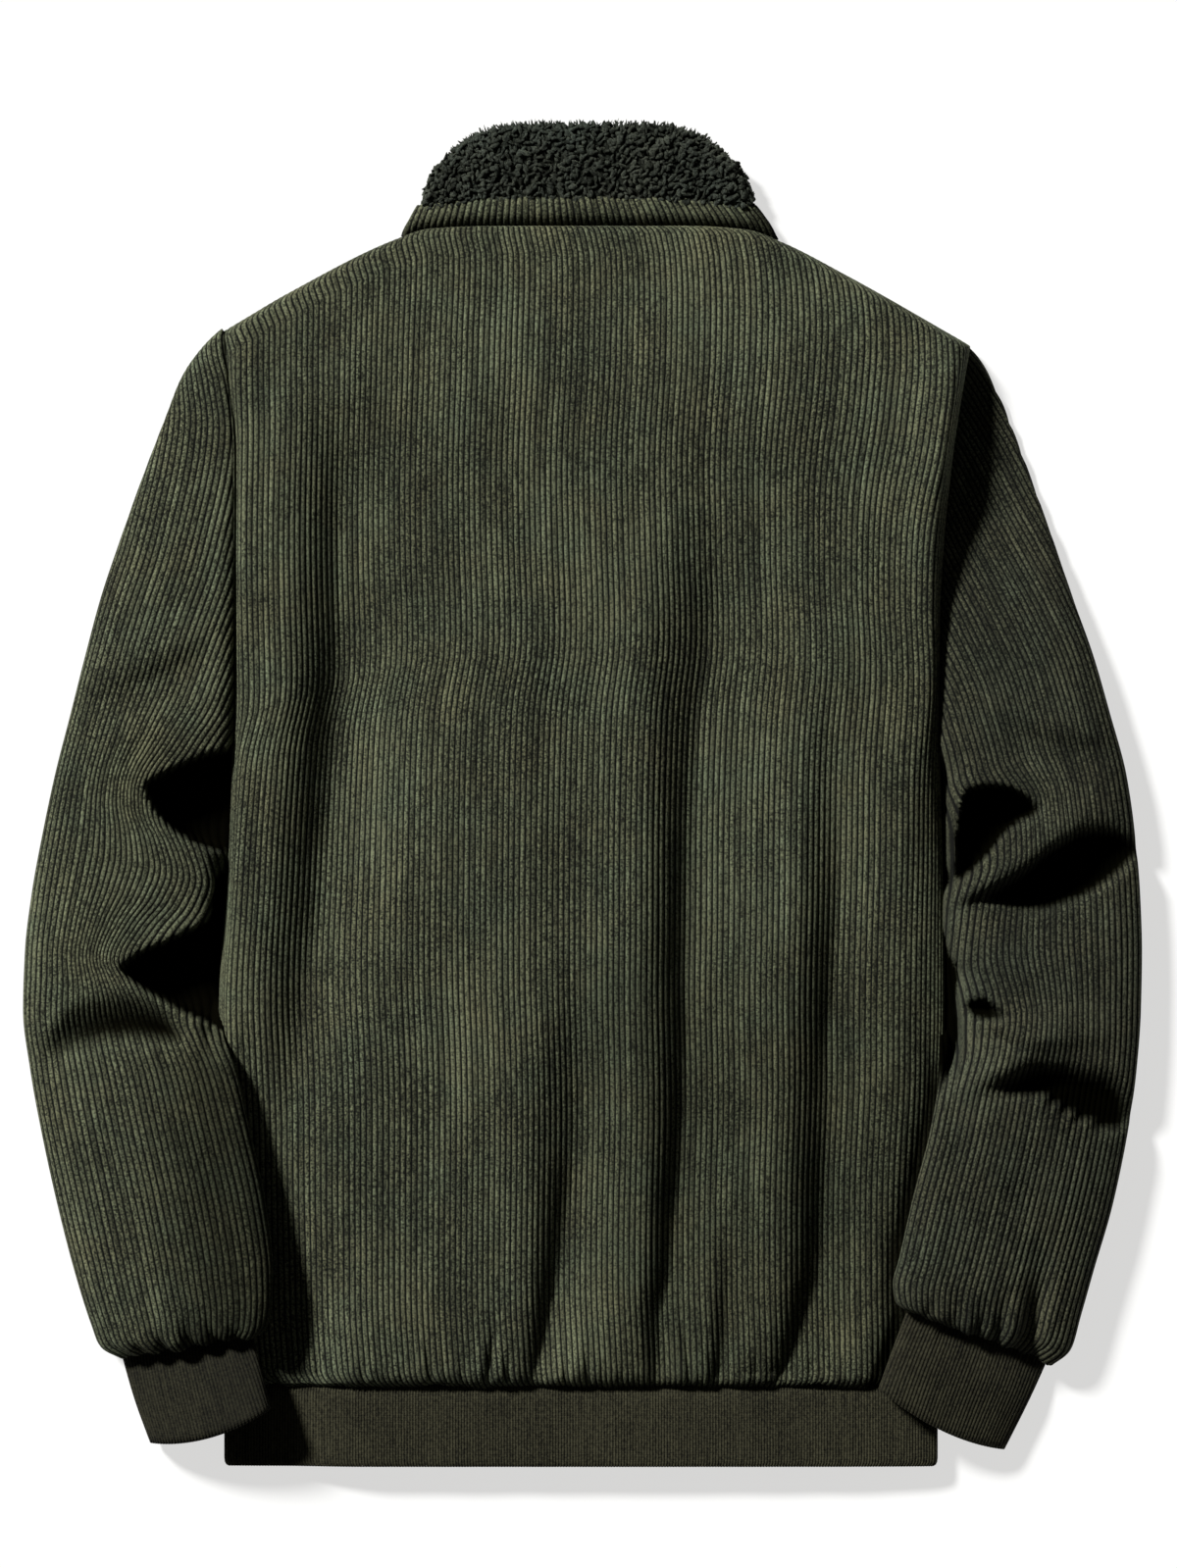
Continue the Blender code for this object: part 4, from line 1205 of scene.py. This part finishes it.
def make_cuff(side):
    """A rib tube from inside the sleeve's end to the wrist opening."""
    keyed = [(k, *section) for k, section in enumerate(CUFFS[side])]
    last = len(keyed) - 1
    rows = np.linspace(0, last, CUFF_ROWS)
    rib_of, heights = wale_columns(2 * CUFF_RIBS, RIB_SECTION, RIB_HIGH)
    on_top = rib_of <= CUFF_RIBS
    grid, painted_shades = [], []
    for k in rows:
        section = follow(keyed, k)
        tucked = 1 - ease(k / 0.35)
        across, length, over_top = tube_round(side, section)
        along = np.interp(rib_of, (0, CUFF_RIBS, 2 * CUFF_RIBS), (0, over_top, length[-1]))
        rounding = 1 - rounded((last - k) * CUFF_END_STEP, CUFF_ROUNDING)
        spots, painted_shade = tube_spots(side, section, np.interp(along, length, across), on_top,
                                   lift=3.0 * tucked, sink=1.2 * rounding,
                                   bow=CUFF_BOW * (k / last) ** 2)
        grid.append(spots)
        # Every part of a cuff gets at least its painted shade.
        painted_shades.append(np.maximum(painted_shade, CUFF_SHADE[side]))
    piece = sew("cuff_%s_knit" % side, grid, RIB_CLOTH, rib_knit, rib_of,
                rows * CUFF_STEP / LOOP_PITCH, heights, painted_shades, tube=True, turned=side == "left")
    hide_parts("cuff_" + side)


make_cuff("left")
make_cuff("right")


# ---------------------------------------------------------------- hem band
# A band of the same rib knit runs round the whole hem and stops at the placket in front.
HEM_Y = -377.0
HEM_POWER = 3.5
HEM_RIBS = 486
# Rows of the band, from its lower edge to where it is tucked inside the body.
HEM_LIFTS = (0.0, 0.8, 2.2, 4.5, 17.0, 26.0, 35.0, 41.0, 43.6, 45.6, 47.4)
PLACKET_HALF = 16.0
PLACKET_GAP = 0.4              # between the placket and the cloth beside it
HEM_LEFT, HEM_RIGHT = BODY_SIDES[0][1:3]


def open_ring(left, right, low, high, middle, slit, power, fractions):
    """Section (x, z) of a band that is slit at the centre front.

    `fractions` of the cloth run from the slit under the left half, over the top, and back.
    """
    turn = np.linspace(0, 1, 3000)
    first = middle - slit + (left - middle + slit) * np.sin(np.pi / 2 * np.clip(4 * turn, 0, 1))
    over = left + (right - left) * (1 - np.cos(np.pi * np.clip(2 * turn - 0.5, 0, 1))) / 2
    swing = np.clip(4 * turn - 3, 0, 1)
    third = right + (middle + slit - right) * (1 - np.cos(np.pi / 2 * swing))
    x = np.where(turn < 0.25, first, np.where(turn <= 0.75, over, third))
    on_top = (turn >= 0.25) & (turn <= 0.75)
    across = np.clip((x - left) / (right - left), 0.0, 1.0)
    z = (low + high) / 2 + (high - low) / 2 * bulge(across, power) * np.where(on_top, 1, -1)
    length = run_of(np.hypot(np.diff(x), np.diff(z)))
    at = fractions * length[-1]
    return np.interp(at, length, x), np.interp(at, length, z)


rib_of, heights = wale_columns(HEM_RIBS, RIB_SECTION, RIB_HIGH)
grid = []
for lift in HEM_LIFTS:
    tuck = 1.6 * ease((lift - 40.0) / 5.6) + 0.9 * (1 - rounded(lift, 2.0))
    tuck += 2.2 * ease((lift - 45.6) / 1.8)
    corner = 0.4 + 2.4 * (1 - rounded(lift, 4.0))
    x, z = open_ring(HEM_LEFT + corner, HEM_RIGHT - corner, RIB_HIGH + tuck, HEM_HEIGHT - tuck,
                     0.0, PLACKET_HALF + PLACKET_GAP, HEM_POWER, rib_of / HEM_RIBS)
    z = z + 0.35 * drift(x, 0 * x + lift * 0.5, 60.0, 9.0) * (z > HEM_HEIGHT / 2)
    z = z * hem_level(x)
    grid.append(np.stack((x, np.full(len(x), HEM_Y + 0.3 + lift), z), axis=-1))
hem = sew("hem_knit", grid, RIB_CLOTH, rib_knit, rib_of, np.array(HEM_LIFTS) / LOOP_PITCH, heights)
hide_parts("hem_rib")


# ---------------------------------------------------------------- fronts
# Two corduroy fronts lie under the back with their outer side on the floor and turn up to it at
# the sides and shoulders.  The right one reaches over the placket, as a shirt's does.
FRONT_WALES = 42
FRONT_SECTION = ((0.0, 0.0), (0.2, 0.9), (0.5, 1.0), (0.8, 0.9))
FRONT_PRESSED = 0.9            # its wales, pressed by the weight above, against the back's
FRONT_FLOOR = 1.4              # height of the cloth's face, so that its wales touch the floor
FRONT_ROLL = 7.0
FRONT_OVERLAP = 10.0
OVERLAP_STEP = 5.0
PLACKET_HIGH = 5.2
ARMHOLE_TURN = 4.5
ARMPIT = 32.0
SEAM_FADE = 20.0
NECK_MIDDLE = 4.0
NECK_HALF = 90.0
NECK_DROP = 26.0
NECK_FADE = 26.0
EDGE_IN = 0.5
SEAM_GAP = 0.3                 # between two pieces along a seam


def neckline(x):
    """Lower neckline of the fronts, above the placket."""
    away = np.minimum(np.abs(x - NECK_MIDDLE) / NECK_HALF, 1.0)
    return follow(TOP_EDGE, x)[..., 0] - NECK_DROP * (1 - away ** 2) ** 1.5


def front_spots(side, across, up):
    """Spots of one front from the placket (0) to its side and from the hem (0) to the top."""
    sign = -1 if side == "left" else 1
    start = -PLACKET_HALF - PLACKET_GAP if side == "left" else PLACKET_HALF - FRONT_OVERLAP
    x, y = np.full_like(across, start), np.full_like(across, HEM_JOIN)
    for _ in range(6):
        edge = follow(BODY_SIDES, y)[..., 0 if sign < 0 else 1]
        x = start + across * (edge - start)
        y = HEM_JOIN + SEAM_GAP + up * (neckline(x) - EDGE_IN - HEM_JOIN - SEAM_GAP)
    top = neckline(x)
    past_neck = ease((np.abs(x - NECK_MIDDLE) - NECK_HALF) / NECK_FADE)
    seam = np.minimum(follow(BODY_SIDES, y)[..., 2 if sign < 0 else 3], 12.0) - 0.5
    side_top = ARMHOLE_TURN + (seam - ARMHOLE_TURN) * ease((ARMPIT - y) / SEAM_FADE)
    shoulder = (follow(TOP_EDGE, x)[..., 1] - 0.1) * past_neck
    shoulder -= (shoulder - side_top) * (1 - ease(np.abs(edge - x) / SEAM_FADE))
    up_side = 1 - rounded(sign * (edge - x), FRONT_ROLL)
    up_top = 1 - rounded(top - EDGE_IN - y, FRONT_ROLL)
    z = np.maximum(side_top * up_side, shoulder * up_top)
    z = FRONT_FLOOR + np.maximum(z - FRONT_FLOOR, 0.0)
    if sign > 0:
        step = ease((PLACKET_HALF + OVERLAP_STEP - x) / (OVERLAP_STEP - 0.6))
        z = np.maximum(z, FRONT_FLOOR + PLACKET_HIGH * step)
    z = z + 0.3 * (1 + drift(x, y, 80.0, 7.0 * sign)) * ease((up_side + up_top) * -4 + 1)
    return np.stack((x, y, z), axis=-1)


wale_of, ridge = wale_columns(FRONT_WALES, FRONT_SECTION)
lifts = np.concatenate((np.linspace(0, 0.96, 34), 1 - 0.04 * (1 - np.linspace(0, 1, 7)[1:]) ** 2))
across, up = np.meshgrid(wale_of / FRONT_WALES, lifts)
for side in ("left", "right"):
    grid = front_spots(side, across, up)
    front = sew("front_%s_cloth" % side, grid, CLOTH, corduroy, wale_of,
                grid[..., 1] / WALE_PITCH, ridge * FRONT_PRESSED, turned=side == "right")
    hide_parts("front_" + side)


# ---------------------------------------------------------------- placket
# A doubled corduroy strip down the centre front carries the buttons, from the neck to the
# lower edge of the hem band, with a line of stitches along both edges.
PLACKET_WALES = 10
PLACKET_LOW = 2.7              # it lies on its buttons
PLACKET_CLOTH = 0.8
STITCH = 3.2                   # length of one stitch
STITCH_STEP = STITCH * 1.4
STITCH_IN = 3.5                # how far the rows of stitches lie inside its edges
THREAD = 0.28                  # radius of the thread

placket_top = float(neckline(np.array(0.0))) - 1.5
wale_of, ridge = wale_columns(2 * PLACKET_WALES, UNDER_SECTION)
turn = 2 * math.pi * wale_of / wale_of[-1]
grid = []
levels = np.linspace(HEM_Y + 0.5, placket_top, 40)
for y in levels:
    from_end = min(y - HEM_Y, placket_top + 0.5 - y)
    half = (PLACKET_HALF - PLACKET_GAP) * (1 - 0.03 * (1 - rounded(from_end, 2.0)))
    flat = np.cos(turn)
    x = half * np.sign(flat) * np.abs(flat) ** 0.35
    rise = np.sin(turn)
    z = PLACKET_LOW + 1.2 + 1.1 * np.sign(rise) * np.abs(rise) ** 0.5
    grid.append(np.stack((x, np.full(len(x), y), z), axis=-1))
placket = sew("placket_cloth", grid, PLACKET_CLOTH, corduroy, wale_of, levels / WALE_PITCH,
              ridge * 0.3, tube=True)
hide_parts("placket")

# Stitches: short threads in a row along each edge of the placket's outer side.
bm = bmesh.new()
for x in (-PLACKET_HALF + STITCH_IN, PLACKET_HALF - STITCH_IN):
    for k in range(int((placket_top - HEM_Y - 8) / STITCH_STEP)):
        y = HEM_Y + 4 + STITCH_STEP * k
        verts = bmesh.ops.create_cone(bm, cap_ends=True, segments=5, radius1=THREAD * MM,
                                      radius2=THREAD * MM, depth=STITCH * MM)["verts"]
        bmesh.ops.rotate(bm, verts=verts, matrix=Euler((math.pi / 2, 0, 0)).to_matrix())
        bmesh.ops.translate(bm, verts=verts, vec=(x * MM, y * MM, (PLACKET_LOW - 0.05) * MM))
thread, tree, shader = surface("sewing thread", {"Roughness": 0.7})
ply = noise(tree, stretched(tree, own_places(tree), (1.0, 0.5, 1.0)), 2600.0)
tree.links.new(mixed(tree, ply, (0.012, 0.014, 0.008, 1), (0.045, 0.05, 0.032, 1)),
               shader.inputs["Base Color"])
relief(tree, shader, ply, 0.5, 0.0001)
stitches = make_piece("placket_stitches", bm, thread, smooth=False)
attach(stitches, "root")


# ---------------------------------------------------------------- buttons
# Six plain flat buttons with a raised rim and four holes close the front; each is turned from
# one plastic blank and sewn to the placket.
BUTTON_LOW = 0.15              # its face lies just off the floor
BUTTON_HOLES = 2.3             # distance of a hole from the middle
HOLE_RADIUS, HOLE_DEPTH = 0.85, 0.9
BUTTON_COUNT, BUTTON_FIRST, BUTTON_STEP = 6, 40.0, 105.0
# Outline of half a button, from the middle of its face over the rim to the middle of its back.
BUTTON_OUTLINE = ((0.0, 0.75), (0.9, 0.75), (1.7, 0.75), (2.4, 0.75), (3.1, 0.75), (4.2, 0.75),
                  (5.4, 0.6), (6.3, 0.1), (7.0, 0.0), (7.6, 0.25), (8.0, 0.9), (7.9, 1.6),
                  (7.2, 2.15), (5.5, 2.2), (2.5, 2.2), (0.0, 2.2))

plastic, tree, shader = surface("button plastic", {})
here = own_places(tree)
swirl = noise(tree, here, 240.0, 4.0, 0.6)
tree.links.new(mixed(tree, spread(tree, swirl, 0.35, 0.7), (0.006, 0.006, 0.004, 1),
                     (0.022, 0.021, 0.014, 1)), shader.inputs["Base Color"])
tree.links.new(spread(tree, swirl, 0.3, 0.7, 0.32, 0.5), shader.inputs["Roughness"])
relief(tree, shader, noise(tree, here, 900.0, 3.0), 0.15, 0.0002)

for k in range(BUTTON_COUNT):
    y = HEM_Y + BUTTON_FIRST + k * BUTTON_STEP
    bm = bmesh.new()
    outline = [bm.verts.new((radius * MM, 0.0, (BUTTON_LOW + height) * MM))
               for radius, height in BUTTON_OUTLINE]
    edges = [bm.edges.new(pair) for pair in zip(outline, outline[1:])]
    bmesh.ops.spin(bm, geom=outline + edges, cent=(0, 0, 0), axis=(0, 0, 1),
                   angle=2 * math.pi, steps=32, use_merge=True)
    bmesh.ops.remove_doubles(bm, verts=bm.verts[:], dist=1e-6)
    for vert in bm.verts:
        if vert.co.z < (BUTTON_LOW + 1.0) * MM:
            for corner in range(4):
                angle = math.pi / 4 + corner * math.pi / 2
                hole = Vector((math.cos(angle), math.sin(angle), 0)) * BUTTON_HOLES * MM
                if (vert.co.xy - hole.xy).length < HOLE_RADIUS * MM:
                    vert.co.z += HOLE_DEPTH * MM
    bmesh.ops.recalc_face_normals(bm, faces=bm.faces[:])
    bmesh.ops.translate(bm, verts=bm.verts[:], vec=(0.0, y * MM, 0.0))
    button = make_piece("button_%d_turned" % (k + 1), bm, plastic)
    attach(button, "root")
    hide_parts("button_%d" % (k + 1))


# ---------------------------------------------------------------- collar band
# A low doubled stand of corduroy on the neck seam, with its wales upright, soft and rolled
# along its upper edge.
BAND_WALES = 112               # once round
BAND_FRONT_GAP = 1.1           # from the fronts' deep neckline
BAND_GAP = 1.0                 # half the space between its front ends
BAND_POWER = 2.4
BAND_TOP, BAND_TOP_END = 335.5, 331.0
BAND_UPS = (0.0, 0.04, 0.12, 0.26, 0.42, 0.58, 0.74, 0.86, 0.94, 0.98, 1.0)
BAND_ROWS = 5.0                # rows of pattern from its foot to its top
BAND = (
    # up,  left,   right, height
    (0, -101.5, 109.5, 12),
    (0.15, -100.5, 108, 14),
    (0.45, -97.5, 104, 18.2),
    (1, -92.5, 97, 18),
)

wale_of, ridge = wale_columns(BAND_WALES)
grid, painted_shades = [], []
for up in BAND_UPS:
    left, right, height = follow(BAND, up)
    tuck = 4.0 * (1 - ease(up / 0.15)) + 3.2 * (1 - rounded(1.0 - up, 0.22))
    x, z = open_ring(left, right, 0.9 + tuck * 0.3, height - tuck, NECK_MIDDLE, BAND_GAP,
                     BAND_POWER, wale_of / BAND_WALES)
    away = np.abs(2 * (x - left) / (right - left) - 1)
    foot = np.where(z > height / 2, follow(TOP_EDGE, x)[..., 0] + SEAM_GAP,
                    neckline(x) + BAND_FRONT_GAP)
    top = BAND_TOP - (BAND_TOP - BAND_TOP_END) * away ** 4
    z = z + 0.5 * drift(x, z * 0, 34.0, 3.0) * (z > height / 2)
    grid.append(np.stack((x, foot + up * (top - foot), z), axis=-1))
    # Painted shade at the band's foot under its roll, and on its right end, turned from the lamp.
    painted_shades.append(np.maximum(0.5 * (1 - ease(up / 0.35)), 0.6 * ease((x - 85.0) / 18.0))
                   * (z > height / 2))
band = sew("collar_band_cloth", grid, CLOTH, corduroy, wale_of, np.array(BAND_UPS) * BAND_ROWS,
           ridge, painted_shades)
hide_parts("collar_band")


# ---------------------------------------------------------------- fleece collar
# Inside the band stands a taller collar of teddy fleece.  Its knitted ground carries a deep
# pile that has curled into small tufts, with loose ends all along its rim.
FLEECE = (
    # up,  left,  right, height, floor
    (0, -82, 86, 11.4, 4.2),
    (0.1, -83, 87, 12.6, 4.2),
    (0.2, -88.5, 93, 15.5, 2.4),
    (0.35, -88, 93.5, 17, 2),
    (0.65, -84.5, 90.5, 17.5, 1.8),
    (0.85, -80, 85.5, 16.5, 1.8),
    (1, -74, 79, 14.4, 2.2),
)
FLEECE_FOOT, FLEECE_TOP, FLEECE_TOP_END = 323.0, 375.5, 358.5
FLEECE_POWER = 5.0
FLEECE_CLOTH = 1.8

fleece = cloth_material("fleece", (0.072, 0.083, 0.066, 1), (0.006, 0.008, 0.006, 1),
                        60.0, 900.0, 1.0, 0.2, 1.0)


def fleece_spots(turn, up):
    """Spots on the fleece collar from its front slit round and back, and from foot to top."""
    left, right, height, low = follow(FLEECE, up)
    x, z = open_ring(left, right, low, height, NECK_MIDDLE, BAND_GAP, FLEECE_POWER, turn)
    away = np.abs(2 * (x - left) / (right - left) - 1)
    top = FLEECE_TOP - (FLEECE_TOP - FLEECE_TOP_END) * away ** 5
    return np.stack((x, FLEECE_FOOT + up * (top - FLEECE_FOOT), z), axis=-1)


turns = np.linspace(0, 1, 121)
ups = np.linspace(0, 1, 15)
# The ground is darkened all over with painted shade, as between the tufts.
ground = sew("collar_fleece_ground", [fleece_spots(turns, up) for up in ups], FLEECE_CLOTH,
             fleece, turns * 40 + 0.5, ups * 5, painted_shade=0.7)
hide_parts("collar_fleece")

# One tuft, lying along X, copied to every place on the ground.
TUFT_ROUND, TUFT_LONG = 6, 5
TUFT_ROWS, TUFT_COLUMNS, RIM_TUFTS = 18, 100, 460
COLLAR_MIDDLE = (NECK_MIDDLE, 330.0, 9.0)    # the rim's tufts point away from here
bm = bmesh.new()
bmesh.ops.create_uvsphere(bm, u_segments=TUFT_ROUND, v_segments=TUFT_LONG, radius=1.0)
bmesh.ops.rotate(bm, verts=bm.verts[:], matrix=Euler((0, math.pi / 2, 0)).to_matrix())
tuft_mesh = bpy.data.meshes.new("tuft")
bm.to_mesh(tuft_mesh)
bm.free()
unit = np.array([tuple(vert.co) for vert in tuft_mesh.vertices])

chance = np.random.default_rng(11)
places, outward, lengths, widths, tilts = [], [], [], [], []


def plant(turn, up, length, width, tilt, lift):
    """Note one tuft on the ground: where it stands, which way is out, its size and tilt."""
    here, beside = fleece_spots(np.array([turn, turn + 0.004]), up)
    above = fleece_spots(np.array([turn]), min(up + 0.02, 1.0))[0]
    if up > 0.98:
        above = here + (0, 1, 0)
    out = np.cross(beside - here, above - here)
    out = out / (np.linalg.norm(out) + 1e-9)
    places.append(here + out * lift)
    outward.append(out)
    lengths.append(length)
    widths.append(width)
    tilts.append(tilt)


for row, up in enumerate(np.linspace(0.2, 0.995, TUFT_ROWS)):
    for column in range(TUFT_COLUMNS):
        turn = (column + 0.5 * (row % 2) + 0.8 * (chance.random() - 0.5)) / TUFT_COLUMNS
        if 0.004 < turn < 0.996:
            plant(turn, min(up + 0.035 * (chance.random() - 0.5), 1.0),
                  1.5 + 2.4 * chance.random() ** 1.5, 0.9 + 1.2 * chance.random() ** 2,
                  0.7 * chance.random(), 0.3 + 1.5 * chance.random())
rim = []
for column in range(RIM_TUFTS):
    turn = 0.06 + 0.88 * (column + chance.random()) / RIM_TUFTS
    plant(turn, 1.0, 1.5 + 1.7 * chance.random(), 0.4 + 0.3 * chance.random(), 0.2, 0.0)
    rim.append(len(places) - 1)
places, outward = np.array(places), np.array(outward)
lengths, widths, tilts = np.array(lengths), np.array(widths), np.array(tilts)
count = len(places)
away = chance.normal(size=(count, 3))
away -= outward * (away * outward).sum(axis=1, keepdims=True)
away /= np.linalg.norm(away, axis=1, keepdims=True)
for k in rim:
    direction = places[k] - COLLAR_MIDDLE
    direction[2] *= 0.3
    away[k] = direction / np.linalg.norm(direction) + 0.7 * away[k]
    away[k] /= np.linalg.norm(away[k])
    places[k] += away[k] * 1.0
away = away + outward * tilts[:, None]
away /= np.linalg.norm(away, axis=1, keepdims=True)
side_way = np.cross(outward, away)
side_way /= np.linalg.norm(side_way, axis=1, keepdims=True) + 1e-9
up_way = np.cross(away, side_way)
bend = chance.uniform(-0.5, 0.5, size=count)
lumpy = 1 + 0.22 * chance.normal(size=(count, len(unit), 1)).clip(-1.5, 1.5)
shape = unit[None] * lumpy
along = shape[..., 0:1] * lengths[:, None, None]
aside = (shape[..., 1:2] + bend[:, None, None] * shape[..., 0:1] ** 2) * widths[:, None, None]
raised = shape[..., 2:3] * widths[:, None, None] * 0.9
spots = (places[:, None] + along * away[:, None] + aside * side_way[:, None]
         + raised * up_way[:, None]).reshape(-1, 3)
spots[:, 2] = np.maximum(spots[:, 2], 0.1)
each = chance.uniform(-0.3, 0.4, size=(count, 1))
each = each + 0.3 * drift(places[:, 0], places[:, 1], 22.0, 4.0)[:, None]
# The rim's loose ends are painted pale: a painted highlight, where light catches them.
each[rim] = -0.6
# Tufts are painted darker underneath and paler on top, painted shade and light over a random tone.
tone_and_painted_shade = np.clip(0.52 + each - 0.9 * shape[..., 2], 0.0, 1.0) * 0.9

bm = bmesh.new()
for _ in range(count):
    bm.from_mesh(tuft_mesh)
painted_shade_layer = bm.verts.layers.float.new("painted_shade")
for vert, place, deep in zip(bm.verts, (spots * MM).tolist(), tone_and_painted_shade.ravel().tolist()):
    vert.co = place
    vert[painted_shade_layer] = deep
wale_layer = bm.loops.layers.uv.new("wale")
for face in bm.faces:
    for loop in face.loops:
        loop[wale_layer].uv = (0.5, loop.vert.co.y * 100)
tufts = make_piece("collar_fleece_tufts", bm, fleece)
bpy.data.meshes.remove(tuft_mesh)
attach(tufts, "root")
